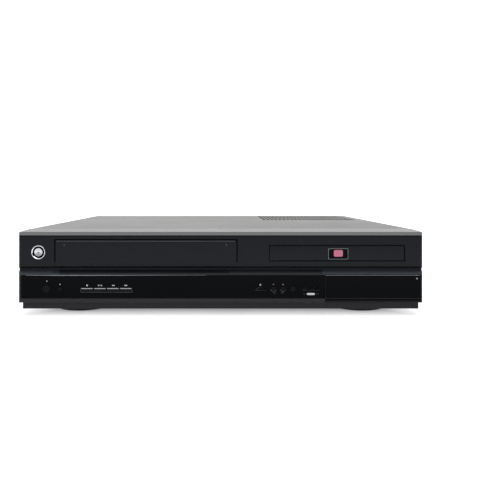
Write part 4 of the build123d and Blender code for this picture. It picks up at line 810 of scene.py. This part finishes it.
# Light strip along the cassette door's top edge: a painted highlight.
CREST_HIGHLIGHT = Moulded("door_top_highlight", srgb(84, 86, 91), srgb(76, 78, 83), (0.3, 0.4),
                specular=0.3, dust=0.0, grain=0.000003)
# Bright strip along the top edges of the gloss panel and the socket door: a painted highlight.
HIGHLIGHT_LIP = Polished("panel_highlight_lip", srgb(146, 151, 161), srgb(134, 139, 149), (0.2, 0.28), dust=0.0)
RING_COLOURS: tuple[Finish, ...] = (
    Moulded("ring_red", srgb(168, 36, 34), srgb(150, 30, 28), (0.35, 0.45)),
    Moulded("ring_white", srgb(214, 212, 206), srgb(200, 198, 192), (0.35, 0.45)),
    Moulded("ring_yellow", srgb(214, 172, 44), srgb(198, 156, 36), (0.35, 0.45)))
INK = Moulded("panel_ink", srgb(214, 216, 220), srgb(196, 199, 204), (0.45, 0.6),
              dust=0.0, grain=0.000004)
DIM_INK = Moulded("dim_ink", srgb(96, 100, 106), srgb(82, 86, 92), (0.45, 0.6),
                  dust=0.0, grain=0.000004)


# ---- mesh making -------------------------------------------------
# corners nearer than WELD are one, and faces that meet at less than FLAT are one flat face
WELD = 0.001 * MM
FLAT = math.radians(0.5)
BACKWARDS = Matrix.Rotation(math.radians(-90), 4, "X")


def linked(name: str, data: ID) -> Object:
    """Put a new object in the scene.

    Args:
        name: its name.
        data: its mesh, lamp or camera.

    Returns:
        The object.
    """
    made = bpy.data.objects.new(name, data)
    bpy.context.scene.collection.objects.link(made)
    return made


def piece_from(name: str, mesh: bmesh.types.BMesh, smooth: float = 40.0) -> Object:
    """Turn a bmesh into a linked object.

    Args:
        name: the piece's name.
        mesh: its faces; it is freed.
        smooth: faces that meet at less than this many degrees shade as one.

    Returns:
        The object.
    """
    bmesh.ops.recalc_face_normals(mesh, faces=mesh.faces)
    data = bpy.data.meshes.new(name)
    mesh.to_mesh(data)
    mesh.free()
    data.polygons.foreach_set("use_smooth", [True] * len(data.polygons))
    data.set_sharp_from_angle(angle=math.radians(smooth))
    return linked(name, data)


def add_bevel(piece: Object, width: float, segments: int = 2, angle: float = 35.0) -> None:
    """Round a piece's edges.

    Args:
        piece: the piece.
        width: bevel width.
        segments: facets over the bevel.
        angle: edges sharper than this many degrees are rounded.
    """
    bevel = piece.modifiers.new("edge_round", "BEVEL")
    bevel.width = width
    bevel.segments = segments
    bevel.limit_method = "ANGLE"
    bevel.angle_limit = math.radians(angle)
    bevel.harden_normals = True
    bevel.miter_outer = "MITER_ARC"


def softened(node: str, width: float, segments: int = 2) -> Object:
    """Copy a solid with its faces made whole and its edges rounded.

    Args:
        node: the solid's name.
        width: bevel width.
        segments: facets over the bevel.

    Returns:
        The copy, which isn't riding yet.
    """
    mesh = bmesh.new()
    mesh.from_mesh(frame["nodes"][node].data)
    bmesh.ops.remove_doubles(mesh, verts=mesh.verts, dist=WELD)
    bmesh.ops.dissolve_limit(mesh, angle_limit=FLAT, verts=mesh.verts, edges=mesh.edges)
    made = piece_from(node + "_dressed", mesh)
    add_bevel(made, width, segments)
    return made


def prisms(name: str, outlines: list[Outline], front: float, back: float) -> Object:
    """Flat pieces drawn in (X, Z), as one object.

    Args:
        name: the piece's name.
        outlines: closed outlines.
        front, back: Y of their two faces.

    Returns:
        The object.
    """
    mesh = bmesh.new()
    for outline in outlines:
        near = [mesh.verts.new((x, front, z)) for x, z in outline]
        far = [mesh.verts.new((x, back, z)) for x, z in outline]
        mesh.faces.new(near)
        mesh.faces.new(list(reversed(far)))
        for i, corner in enumerate(near):
            j = (i + 1) % len(near)
            mesh.faces.new((corner, far[i], far[j], near[j]))
    return piece_from(name, mesh)


def turned(name: str, profile: Outline, centre: Vector, steps: int = 40) -> Object:
    """Ring turned about an axis along Y.

    Args:
        name: the piece's name.
        profile: closed profile of (radius, height), with the height growing along +Y.
        centre: where height 0 lies.
        steps: facets round it.

    Returns:
        The object.
    """
    mesh = bmesh.new()
    place = Matrix.Translation(centre) @ BACKWARDS
    turns = [2 * math.pi * i / steps for i in range(steps)]
    ways = [(math.cos(turn), math.sin(turn)) for turn in turns]
    rings = []
    for radius, height in profile:
        points = [Vector((radius * x, radius * y, height)) for x, y in ways]
        rings.append([mesh.verts.new(place @ point) for point in points])
    for low, high in zip(rings, rings[1:] + rings[:1]):
        for i in range(steps):
            j = (i + 1) % steps
            mesh.faces.new((low[i], low[j], high[j], high[i]))
    return piece_from(name, mesh, smooth=30.0)


def joined(name: str, parts: list[Object]) -> Object:
    """Make one object of several.

    Args:
        name: its name.
        parts: the objects, which are used up.

    Returns:
        The object.
    """
    mesh = bmesh.new()
    for part in parts:
        mesh.from_mesh(part.data)
        bpy.data.objects.remove(part)
    return piece_from(name, mesh)


def stroke(points: Outline, width: float, caps: int = 6) -> Outline:
    """Outline of a line of even width with round ends.

    Args:
        points: the line's points.
        width: its width.
        caps: facets of each round end.

    Returns:
        The closed outline.
    """
    half = width / 2
    line = [Vector(p) for p in points]
    sides: list[list[Vector]] = [[], []]
    for i, here in enumerate(line):
        ahead = (line[min(i + 1, len(line) - 1)] - line[max(i - 1, 0)]).normalized()
        across = Vector((-ahead.y, ahead.x)) * half
        sides[0].append(here + across)
        sides[1].append(here - across)

    def cap(centre: Vector, start: Vector) -> list[Vector]:
        """Points of a half round from start, turning clockwise."""
        arm = start - centre
        return [centre + Matrix.Rotation(-math.pi * k / caps, 2) @ arm for k in range(1, caps)]

    outline = sides[0] + cap(line[-1], sides[0][-1]) + sides[1][::-1] + cap(line[0], sides[1][0])
    return [(p.x, p.y) for p in outline]


def arc(centre: tuple[float, float], radius: float, start: float, end: float,
        steps: int = 24) -> Outline:
    """Points on an arc, with angles in degrees.

    Args:
        centre: its centre.
        radius: its radius.
        start, end: its two ends.
        steps: how many runs it has.

    Returns:
        The points.
    """
    turns = [math.radians(start + (end - start) * k / steps) for k in range(steps + 1)]
    return [(centre[0] + radius * math.cos(t), centre[1] + radius * math.sin(t)) for t in turns]


def rectangle(x0: float, x1: float, z0: float, z1: float) -> Outline:
    """Outline of an upright rectangle."""
    return [(x0, z0), (x1, z0), (x1, z1), (x0, z1)]


def rounded(x: float, z: float, width: float, height: float, radius: float) -> Outline:
    """Outline of a rectangle with round corners.

    Args:
        x, z: its centre.
        width, height: its size.
        radius: of its corners.

    Returns:
        The closed outline.
    """
    points: Outline = []
    for way_x, way_z, turn in ((1, 1, 0), (-1, 1, 90), (-1, -1, 180), (1, -1, 270)):
        corner = x + way_x * (width / 2 - radius), z + way_z * (height / 2 - radius)
        points += arc(corner, radius, turn, turn + 90, 6)
    return points


def pill(x: float, z: float, width: float, height: float) -> Outline:
    """Outline of a level slot with round ends."""
    return stroke([(x - (width - height) / 2, z), (x + (width - height) / 2, z)], height, 10)


def middle(node: str) -> Vector:
    """Centre of a solid's box."""
    low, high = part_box(node)
    return (low + high) / 2


# ---- workshop ----------------------------------------------------
@dataclass
class Workshop:
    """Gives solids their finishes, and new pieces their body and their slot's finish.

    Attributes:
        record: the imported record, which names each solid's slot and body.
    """

    record: dict = field(default_factory=lambda: frame["record"])

    def slot_of(self, node: str) -> Slot:
        """Slot that the record gives a solid."""
        rows = self.record["subparts"]
        return next(Slot(row["material_slot"]) for row in rows if row["node"] == node)

    def body_of(self, node: str) -> str:
        """Body that a solid belongs to."""
        bodies = self.record["behaviour"]["bodies"]
        return next(body for body, nodes in bodies.items() if node in nodes)

    def finish(self, *nodes: str) -> None:
        """Finish solids that stay as they are.

        Args:
            nodes: their names.
        """
        for node in nodes:
            for place in frame["nodes"][node].material_slots:
                place.link = "OBJECT"
                place.material = FINISHES[self.slot_of(node)].build()
            log.info("%s: finished", node)

    def soften(self, width: float, *nodes: str, segments: int = 2,
               slot: Slot | None = None) -> None:
        """Show solids by copies with rounded edges.

        Args:
            width: bevel width.
            nodes: their names.
            segments: facets over each bevel.
            slot: their slot, where it isn't the solid's own.
        """
        for node in nodes:
            made = softened(node, width, segments)
            self.stand_for(made, node, slot)

    def stand_for(self, piece: Object, node: str, slot: Slot | None = None) -> None:
        """Let a piece stand for a solid, with its body and its slot's finish.

        Args:
            piece: the piece.
            node: the solid's name.
            slot: its slot, where it isn't the solid's own.
        """
        slot = slot or self.slot_of(node)
        self.add(piece, self.body_of(node), slot)
        # bevel faces of these slots take the lighter edge finish, a painted highlight
        if slot in EDGE_HIGHLIGHTS:
            piece.data.materials.append(EDGE_HIGHLIGHTS[slot].build())
            piece.modifiers["edge_round"].material = 1
        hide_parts(node)

    def add(self, piece: Object, body: str, slot: Slot, finish: Finish | None = None) -> None:
        """Fix a new piece to its body.

        Args:
            piece: the piece.
            body: the body that it rides on.
            slot: the record's slot.
            finish: its finish, where it isn't the slot's own.
        """
        piece.data.materials.clear()
        piece.data.materials.append((finish or FINISHES[slot]).build())
        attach(piece, body)
        log.info("%s: on %s, %d faces", piece.name, body, len(piece.data.polygons))

    def lay(self, name: str, outlines: list[Outline], front: float, rise: float, body: str,
            finish: Finish, slot: Slot = Slot.KEY_SILVER, sink: float | None = None) -> None:
        """Fix thin flat pieces to an upright face, as one piece.

        Args:
            name: the piece's name.
            outlines: their outlines in (X, Z).
            front: Y of the face.
            rise: how far they stand out of it.
            body: the body that they ride on.
            finish: their finish.
            slot: the record's slot.
            sink: how far they reach behind it, where it isn't the same.
        """
        made = prisms(name, outlines, front - rise, front + (rise if sink is None else sink))
        self.add(made, body, slot, finish)


@dataclass
class SubAssembly:
    """A part of the player that is built by itself.

    Attributes:
        shop: what finishes its solids and adds its pieces.
    """

    shop: Workshop

    def build(self) -> None:
        """Build its pieces."""
        raise NotImplementedError


# ---- the player's sub-assemblies ---------------------------------
@dataclass
class Bezel(SubAssembly):
    """Moulded front with its gloss panel and the symbols printed on it.

    Attributes:
        edge: roundness of the panel's edges.
        ink: thickness of the printing.
        line: width of a printed line.
        symbol: height of a printed symbol.
        pill: width and height of the pill.
        pill_drop: how far it lies below the dubbing keys.
        lip_top: height of the painted highlight lip along the panel's top edge.
        lip_depths: X and depth of that lip from right to left, in millimetres; it thins where the
            painted highlight fades.
        lip_proud: how far a lip stands out.
        door_lip: depths of the painted highlight lip on the socket door, below the door's top.
        door_lip_ends: how far it stops short of the door's sides.
    """

    edge: float = 0.25 * MM
    ink: float = 0.03 * MM
    line: float = 0.28 * MM
    symbol: float = 1.5 * MM
    pill: tuple[float, float] = (8.6 * MM, 2.1 * MM)
    pill_drop: float = 2.2 * MM
    lip_top: float = 44.05 * MM
    lip_depths: Outline = field(default_factory=lambda: [
        (-15.0, 0.1), (-60.0, 0.2), (-100.0, 0.3), (-140.0, 0.5), (-171.0, 0.5), (-207.0, 0.2)])
    lip_proud: float = 0.12 * MM
    door_lip: tuple[float, float] = (0.75 * MM, 0.45 * MM)
    door_lip_ends: tuple[float, float] = (2 * MM, 3 * MM)

    def build(self) -> None:
        """Finish the mouldings and print the panel."""
        self.shop.finish("front_fascia")
        self.shop.soften(self.edge, "gloss_panel")
        self.shop.finish("display_module")
        self.highlight_lips()
        self.print_symbols()

    def highlight_lips(self) -> None:
        """Lay a bright strip along the top edge of the panel and of the socket door, as a painted
        highlight.
        """
        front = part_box("gloss_panel")[0].y
        right, left = self.lip_depths[0][0], self.lip_depths[-1][0]
        edge = [(left * MM, self.lip_top), (right * MM, self.lip_top)]
        edge += [(x * MM, self.lip_top - deep * MM) for x, deep in self.lip_depths]
        self.shop.lay("panel_highlight_lip", [edge], front, self.lip_proud, "root", HIGHLIGHT_LIP)
        low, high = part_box("socket_door")
        rim = rectangle(low.x + self.door_lip_ends[0], high.x - self.door_lip_ends[1],
                        high.z - self.door_lip[0], high.z - self.door_lip[1])
        self.shop.lay("socket_door_highlight_lip", [rim], front, self.lip_proud, "socket_door", HIGHLIGHT_LIP)

    def print_symbols(self) -> None:
        """Print the symbols, dots and signs, and the fine lines round the keys."""
        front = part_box("gloss_panel")[0].y
        bright = self.transport_symbols() + self.eject_symbol() + self.signs() + self.dots()
        self.shop.lay("panel_symbols", bright, front, self.ink, "root", INK)
        self.shop.lay("panel_lines", self.key_lines(), front, self.ink, "root", DIM_INK)

    def transport_symbols(self, rise: float = 4.4 * MM) -> list[Outline]:
        """Draw stop, play and pause, rewind and forward above their keys.

        Args:
            rise: height of the symbols above the keys' middle.

        Returns:
            Their outlines.
        """
        half = self.symbol / 2
        play, slash, pauses = -1.3 * MM, (-0.25 * MM, 0.45 * MM), (1.05 * MM, 1.85 * MM)
        thin, thick = 0.2 * MM, 0.4 * MM

        def triangle(x: float, z: float, way: int) -> Outline:
            """Triangle that points along X."""
            return [(x - way * half, z - half), (x + way * half, z), (x - way * half, z + half)]

        x, _, z = middle("stop_key")
        z += rise
        drawn = [rectangle(x - half, x + half, z - half, z + half)]
        x = middle("play_key").x
        drawn.append(triangle(x + play, z, 1))
        drawn.append(stroke([(x + slash[0], z - half), (x + slash[1], z + half)], thin))
        short = half * 0.8
        drawn += [stroke([(x + side, z - short), (x + side, z + short)], thick) for side in pauses]
        for node, way in (("rewind_key", -1), ("forward_key", 1)):
            x = middle(node).x
            drawn += [triangle(x - half, z, way), triangle(x + half, z, way)]
        return drawn

    def eject_symbol(self, rise: float = 4.9 * MM) -> list[Outline]:
        """Draw the open and close symbol above its key.

        Args:
            rise: height of the symbol above the key's middle.

        Returns:
            The outlines of its triangle and its bar.
        """
        x, _, z = middle("eject_key")
        z += rise
        wide, foot, tip = self.symbol * 0.6, self.symbol * 0.25, self.symbol * 0.55
        bar = z - tip
        return [[(x - wide, z - foot), (x + wide, z - foot), (x, z + tip)],
                rectangle(x - wide, x + wide, bar - 0.2 * MM, bar + 0.1 * MM)]

    def signs(self, rise: float = 4.5 * MM, arm: float = 0.7 * MM) -> list[Outline]:
        """Draw minus and plus above the two small round keys.

        Args:
            rise: height of the signs above the keys' middle.
            arm: length of an arm.

        Returns:
            Their outlines, with the plus's two upright arms apart.
        """
        half, clear = 0.14 * MM, 0.15 * MM
        drawn = []
        for node in ("channel_down_key", "channel_up_key"):
            x, _, z = middle(node)
            z += rise
            drawn.append(rectangle(x - arm, x + arm, z - half, z + half))
        drawn.append(rectangle(x - half, x + half, z + clear, z + arm))
        drawn.append(rectangle(x - half, x + half, z - arm, z - clear))
        return drawn

    def dots(self, radius: float = 0.5 * MM) -> list[Outline]:
        """Draw the dots over the two round buttons, and the pill under the dubbing keys.

        Args:
            radius: of a dot.

        Returns:
            Their outlines.
        """
        drawn = []
        for node, rise in (("mode_button", 7.9 * MM), ("setup_button", 4.9 * MM)):
            x, _, z = middle(node)
            drawn.append(arc((x, z + rise), radius, 0, 345, 23))
        left, right = middle("tape_dub_key").x, middle("disc_dub_key").x
        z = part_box("tape_dub_key")[0].z - self.pill_drop
        drawn.append(pill((left + right) / 2, z, *self.pill))
        return drawn

    def key_lines(self) -> list[Outline]:
        """Draw the fine lines round and under the keys.

        Returns:
            Their outlines.
        """
        below, corner, outer, end = 0.2 * MM, 0.6 * MM, 0.6 * MM, 1.6 * MM
        around, drop, under, reach = 2.9 * MM, 3.2 * MM, 4.6 * MM, 2 * MM
        inner, near, far = 0.5 * MM, 1.2 * MM, 3.4 * MM
        left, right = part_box("stop_key")[0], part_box("forward_key")[1]
        foot = left.z - below
        turn, end = foot + corner, foot + end
        runs = [[(left.x - outer, end), (left.x - inner, turn), (left.x + inner, foot),
                 (right.x - inner, foot), (right.x + inner, turn), (right.x + outer, end)]]
        down, up = middle("channel_down_key"), middle("channel_up_key")
        runs += [arc((key.x, key.z), around, 200, 340) for key in (down, up)]
        low = down.z - under
        runs += [[(key.x, key.z - drop), (key.x, low), (key.x + way * reach, low)]
                 for key, way in ((down, 1), (up, -1))]
        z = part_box("tape_dub_key")[0].z - self.pill_drop
        for node, way in (("tape_dub_key", -1), ("disc_dub_key", 1)):
            x = middle(node).x
            runs.append([(x + way * near, z), (x + way * far, z)])
        return [stroke(run, self.line) for run in runs]


@dataclass
class Keys(SubAssembly):
    """Keys of the gloss panel.

    Attributes:
        edge: roundness of the small keys.
        long_edge: roundness of the transport keys.
        bar: height of the silver bar on each transport key.
        bar_edge: its roundness.
        bar_z: height of the bars above the shelf.
        inset: how far each bar stops short of its key's ends.
        proud: how far each bar stands out.
    """

    edge: float = 0.3 * MM
    long_edge: float = 0.25 * MM
    bar: float = 0.85 * MM
    bar_edge: float = 0.1 * MM
    bar_z: float = 30.1 * MM
    inset: float = 0.25 * MM
    proud: float = 0.15 * MM

    def build(self) -> None:
        """Round the keys and put the silver bars on the transport keys."""
        self.shop.soften(self.edge, "mode_button", "setup_button", "eject_key", "channel_down_key",
                         "channel_up_key", "source_key", "tape_dub_key", "disc_dub_key", segments=3)
        for node in ("stop_key", "play_key", "rewind_key", "forward_key"):
            self.shop.soften(self.long_edge, node, segments=3, slot=Slot.KEY_BLACK)
            low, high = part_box(node)
            z = min(max(self.bar_z, low.z + self.bar / 2), high.z - self.bar / 2)
            short = self.inset + self.bar / 2
            outline = stroke([(low.x + short, z), (high.x - short, z)], self.bar)
            bar = prisms(node + "_bar", [outline], low.y - self.proud, low.y + self.proud)
            add_bevel(bar, self.bar_edge)
            self.shop.add(bar, node, Slot.KEY_SILVER)


@dataclass
class Standby(SubAssembly):
    """Standby button in its plated ring."""

    def build(self) -> None:
        """Turn the ring and the button finely."""
        self.shop.finish("standby_ring", "standby_button")


@dataclass
class Doors(SubAssembly):
    """Cassette door, socket door and tray front.

    Attributes:
        edge: roundness of their edges.
        door_x: the cassette door's two sides.
        door_top: its top edge.
        gap: width of the gap round it.
        crest: depths of the painted highlight along its top edge, below its top.
        roll: height at which the bezel's face starts to roll back.
        film: thickness of a printed mark.
        sticker_at: X and Z of the sticker's middle.
        sticker: its width and height.
        border: how much smaller its field is.
        square: width and height of the square on it.
        square_up: how far above the middle the square is.
        paper: thickness of its lowest layer.
    """

    edge: float = 0.5 * MM
    door_x: tuple[float, float] = (-175.02 * MM, 16.58 * MM)
    door_top: float = 80.9 * MM
    gap: float = 0.15 * MM
    crest: tuple[float, float] = (1.0 * MM, 0.5 * MM)
    roll: float = 58.2 * MM
    film: float = 0.03 * MM
    sticker_at: tuple[float, float] = (124.9 * MM, 66.6 * MM)
    sticker: tuple[float, float] = (21.1 * MM, 11.4 * MM)
    border: float = 0.7 * MM
    square: tuple[float, float] = (9.6 * MM, 7.0 * MM)
    square_up: float = 0.6 * MM
    paper: float = 0.08 * MM

    def build(self) -> None:
        """Round the doors' edges, print their marks and lay the sticker on the tray front."""
        self.shop.soften(self.edge, "cassette_door", "socket_door", "tray_front", segments=3)
        self.paint_gap_shadow_and_highlight()
        self.marks()
        self.lay_sticker()

    def paint_gap_shadow_and_highlight(self, wide: float = 1.15 * MM, proud: float = 0.1 * MM) -> None:
        """Lay a near-black strip round the cassette opening as a painted shadow of the gap, and a
        lighter strip along the door's top edge as a painted highlight.

        Args:
            wide: width of the painted shadow.
            proud: how far it lies over the bezel's face.
        """
        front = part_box("cassette_door")[0].y
        left, right = self.door_x[0] - self.gap, self.door_x[1] + self.gap
        top = self.door_top + self.gap
        sides = [rectangle(left - wide, left, self.roll, top + wide),
                 rectangle(right, right + wide, self.roll, top + wide),
                 rectangle(left, right, top, top + wide)]
        self.shop.lay("cassette_opening_painted_shadow", sides, front, proud, "root", SHADOW_RIM, Slot.BEZEL,
                      sink=2 * proud)
        crest = rectangle(left + wide, right - wide, self.door_top - self.crest[0],
                          self.door_top - self.crest[1])
        self.shop.lay("cassette_door_top_highlight", [crest], front, proud, "cassette_door", CREST_HIGHLIGHT,
                      Slot.BEZEL)

    def marks(self) -> None:
        """Print two small marks on the cassette door and a triangle on the socket door."""
        low, high, width = 75.3 * MM, 77.0 * MM, 0.5 * MM
        lines = [stroke([(x, low), (x, high)], width) for x in (-166.0 * MM, 6.1 * MM)]
        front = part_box("cassette_door")[0].y
        self.shop.lay("door_marks", lines, front, self.film, "cassette_door", DIM_INK)
        x, z, half = 208.4 * MM, 40.7 * MM, 0.9 * MM
        triangle = [(x - half, z - half * 0.7), (x + half, z - half * 0.7), (x, z + half * 0.8)]
        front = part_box("socket_door")[0].y
        self.shop.lay("socket_door_mark", [triangle], front, self.film, "socket_door", INK)

    def lay_sticker(self) -> None:
        """Lay a plain sticker with a rounded square: its border, its field and the square."""
        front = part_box("tray_front")[0].y
        x, z = self.sticker_at
        width, height = self.sticker
        inner = width - self.border, height - self.border
        layers = (
            ("sticker_border", (width, height), 1.2 * MM, 0.0, 1.0, srgb(150, 152, 156)),
            ("sticker_field", inner, 1.0 * MM, 0.0, 1.4, srgb(4, 4, 5)),
            ("sticker_square", self.square, 1.6 * MM, self.square_up, 1.8, srgb(206, 122, 150)))
        for name, size, radius, up, thick, colour in layers:
            darker = tuple(channel * 0.9 for channel in colour)
            paper = Polished(name, colour, darker, (0.3, 0.4), specular=0.06, dust=0.0)
            self.shop.lay(name, [rounded(x, z + up, *size, radius)], front, self.paper * thick,
                          "disc_tray", paper, Slot.TRAY, self.paper)


@dataclass
class Case(SubAssembly):
    """Folded cover, pan, rear panel, feet and screws."""

    def build(self) -> None:
        """Finish the sheet metal and the feet."""
        self.shop.finish("top_cover", "bottom_chassis", "rear_panel", "feet", "foot_pads",
                         "case_screws")


@dataclass
class Electronics(SubAssembly):
    """Boards, power parts and sockets.

    Attributes:
        first: X of the first column of phono sockets.
        pitch: distance between the columns.
        columns: how many there are.
        rows: heights of the sockets in a column.
        ring: inner and outer radius of the coloured ring round a socket.
        thick: how thick a ring is.
        thick: how thick a ring is.
        chamfer: the part of that which its outer edge is chamfered by.
    """

    first: float = -150.0 * MM
    pitch: float = 21.0 * MM
    columns: int = 6
    rows: tuple[float, ...] = (30.0 * MM, 46.0 * MM, 62.0 * MM)
    ring: tuple[float, float] = (4.2 * MM, 5.6 * MM)
    thick: float = 0.9 * MM
    chamfer: float = 0.3

    def socket_rings(self) -> None:
        """Put a coloured ring round each phono socket at the back."""
        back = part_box("rear_panel")[1].y
        inner, outer = self.ring
        profile = [(inner, 0.0), (outer, 0.0), (outer, self.thick * (1 - self.chamfer)),
                   (outer - self.thick * self.chamfer, self.thick), (inner, self.thick)]
        for row, (z, paint) in enumerate(zip(self.rows, RING_COLOURS)):
            places = [Vector((self.first + self.pitch * i, back, z)) for i in range(self.columns)]
            parts = [turned("ring_part", profile, place) for place in places]
            self.shop.add(joined(f"socket_rings_{row}", parts), "root", Slot.SOCKET, paint)

    def build(self) -> None:
        """Finish the boards and the sockets."""
        self.socket_rings()
        self.shop.finish("front_board", "main_board", "power_board", "power_transformer",
                         "heat_sink", "capacitors", "mains_inlet", "phono_blocks", "phono_barrels",
                         "aerial_terminals", "front_sockets")


@dataclass
class DiscDrive(SubAssembly):
    """Disc drive in its bracket."""

    def build(self) -> None:
        """Finish the drive's mouldings and metal."""
        self.shop.finish("drive_bracket", "drive_chassis", "clamp_bridge", "disc_clamper",
                         "dvd_tray", "tray_gear", "traverse_frame", "spindle_and_rods",
                         "disc_turntable", "laser_sled", "sled_screw")


@dataclass
class CassetteDeck(SubAssembly):
    """Cassette deck."""

    def build(self) -> None:
        """Finish the deck's metal and turned pieces."""
        self.shop.finish("deck_plate", "side_frames", "cassette_slider", "cassette_holder",
                         "drum_base", "head_drum", "capstan_motor", "capstan", "pinch_arm",
                         "pinch_roller", "supply_reel", "takeup_reel")


# ---- studio ------------------------------------------------------
@dataclass
class Studio:
    """Pale floor with a painted shadow under the player, white backdrop, soft lamps and the camera.

    Attributes:
        lens: focal length for a 36 mm sensor.
        eye: the camera's place.
        shift: the view's shift.
        footprint: half of the X and Y that the player's foot covers.
        glows: how bright the floor glows under the player, a painted shadow there, and just outside
            that.
        edge: how far from the footprint it turns from one to the other.
        far_glow: what is added far away.
        far: how far from the footprint that starts and is full.
        room: even light of the room.
        dark_room: what polished faces mirror of it.
        aim: what the lamps point at.
    """

    lens: float = 39.1
    eye: tuple[float, float, float] = (0.0, -0.7548, 0.1323)
    shift: tuple[float, float] = (0.0588, -0.116)
    footprint: tuple[float, float] = (0.2, 0.163)
    glows: tuple[float, float] = (0.14, 0.62)
    edge: tuple[float, float] = (-0.03, 0.004)
    far_glow: float = 0.5
    far: tuple[float, float] = (0.01, 0.4)
    room: float = 0.62
    dark_room: float = 0.04
    aim: tuple[float, float, float] = (0.0, 0.0, 0.05)

    def build(self) -> None:
        """Set up everything that isn't the object."""
        self.floor()
        self.backdrop()
        self.lamps()
        self.camera()
        bpy.context.scene.view_settings.view_transform = "Standard"

    def seen(self, graph: Graph) -> object:
        """Tell the rays that may show a plain white background.

        Args:
            graph: the material's nodes.

        Returns:
            1 for those rays and 0 for the others.
        """
        path = graph.add("ShaderNodeLightPath").outputs
        both = graph.math("MAXIMUM", path["Is Camera Ray"], path["Is Glossy Ray"])
        return graph.math("MAXIMUM", both, path["Is Transmission Ray"])

    def plane(self, name: str, size: float, place: Matrix) -> Object:
        """Make a flat square that belongs to the studio.

        Args:
            name: its name.
            size: its side.
            place: where it lies.

        Returns:
            The object.
        """
        mesh = bmesh.new()
        bmesh.ops.create_grid(mesh, x_segments=4, y_segments=4, size=size / 2, matrix=place)
        made = piece_from(name, mesh)
        return made

    def glow_with_painted_shadow(self, graph: Graph) -> object:
        """Glow of the floor: little under the player, as a painted shadow, more round it, and white
        far away.

        Args:
            graph: the floor's nodes.

        Returns:
            How bright it shows.
        """
        place = graph.split(graph.here())
        out = [graph.math("SUBTRACT", graph.math("ABSOLUTE", place[way]), half)
               for way, half in zip("XY", self.footprint)]
        gap = graph.math("MAXIMUM", *out)
        # painted shadow: the glow is lower over the player's footprint
        close = graph.ramp(gap, *self.edge, *self.glows)
        return graph.math("ADD", close, graph.ramp(gap, *self.far, 0.0, self.far_glow))

    def painted(self, name: str, glow: float | None, shade: float) -> Material:
        """White studio paint that also shows its own glow.

        Args:
            name: the material's name.
            glow: how bright it shows by itself, or None for the floor's.
            shade: how much light it gives back.

        Returns:
            The material.
        """
        made = bpy.data.materials.new(name)
        graph = emptied(made)
        paint = graph.add("ShaderNodeBsdfDiffuse", Color=(shade, shade, shade))
        level = self.glow_with_painted_shadow(graph) if glow is None else glow
        light = graph.add("ShaderNodeEmission", Strength=graph.times(self.seen(graph), level))
        both = graph.add("ShaderNodeAddShader")
        for socket, shader in zip(both.inputs, (paint, light)):
            graph.put(socket, shader.outputs[0])
        graph.add("ShaderNodeOutputMaterial", Surface=both.outputs[0])
        return made

    def floor(self) -> None:
        """White floor that keeps the object's shadow, and adds a painted shadow under it with a
        lower glow.
        """
        made = self.plane("floor", size=12.0, place=Matrix.Identity(4))
        made.data.materials.append(self.painted("floor_white", glow=None, shade=0.7))

    def backdrop(self) -> None:
        """White wall behind the object, and the even light of the room."""
        place = Matrix.Translation((0.0, 4.0, 2.0)) @ Matrix.Rotation(math.radians(90), 4, "X")
        made = self.plane("backdrop", size=14.0, place=place)
        made.data.materials.append(self.painted("backdrop_white", glow=1.0, shade=0.1))
        world = bpy.data.worlds.new("studio_world")
        bpy.context.scene.world = world
        graph = emptied(world)
        path = graph.add("ShaderNodeLightPath").outputs
        level = graph.ramp(path["Is Glossy Ray"], 0, 1, self.room, self.dark_room)
        light = graph.add("ShaderNodeBackground", Color=(1.0, 1.0, 1.0),
                          Strength=graph.math("MAXIMUM", level, path["Is Camera Ray"]))
        graph.add("ShaderNodeOutputWorld", Surface=light.outputs[0])

    def lamps(self) -> None:
        """Softbox above and behind the front edge, and two low fills in front."""
        boxes = (("top_box", (0.0, -0.42, 1.3), (1.7, 0.85), 15.0),
                 ("left_fill", (-1.6, -1.6, 0.9), (0.8, 0.8), 3.0),
                 ("right_fill", (1.5, -1.7, 1.0), (0.8, 0.8), 2.0))
        for name, place, size, power in boxes:
            lamp = bpy.data.lights.new(name, "AREA")
            lamp.shape = "RECTANGLE"
            lamp.size, lamp.size_y = size
            lamp.energy = power
            made = linked(name, lamp)
            made.location = place
            aim = Vector(self.aim) - made.location
            made.rotation_euler = aim.to_track_quat("-Z", "Y").to_euler()

    def camera(self) -> None:
        """Camera level with the photograph's."""
        data = bpy.data.cameras.new("camera")
        data.sensor_width = 36.0
        data.lens = self.lens
        data.shift_x, data.shift_y = self.shift
        data.clip_end = 50.0
        made = linked("camera", data)
        made.location = self.eye
        made.rotation_euler = (math.radians(90), 0.0, 0.0)
        bpy.context.scene.camera = made


def main() -> None:
    """Build the player and its studio."""
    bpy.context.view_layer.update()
    shop = Workshop()
    for part in (Bezel, Keys, Standby, Doors, Case, Electronics, DiscDrive, CassetteDeck):
        log.info("== %s", part.__name__)
        part(shop).build()
    Studio().build()


if __name__ == "__main__":
    main()
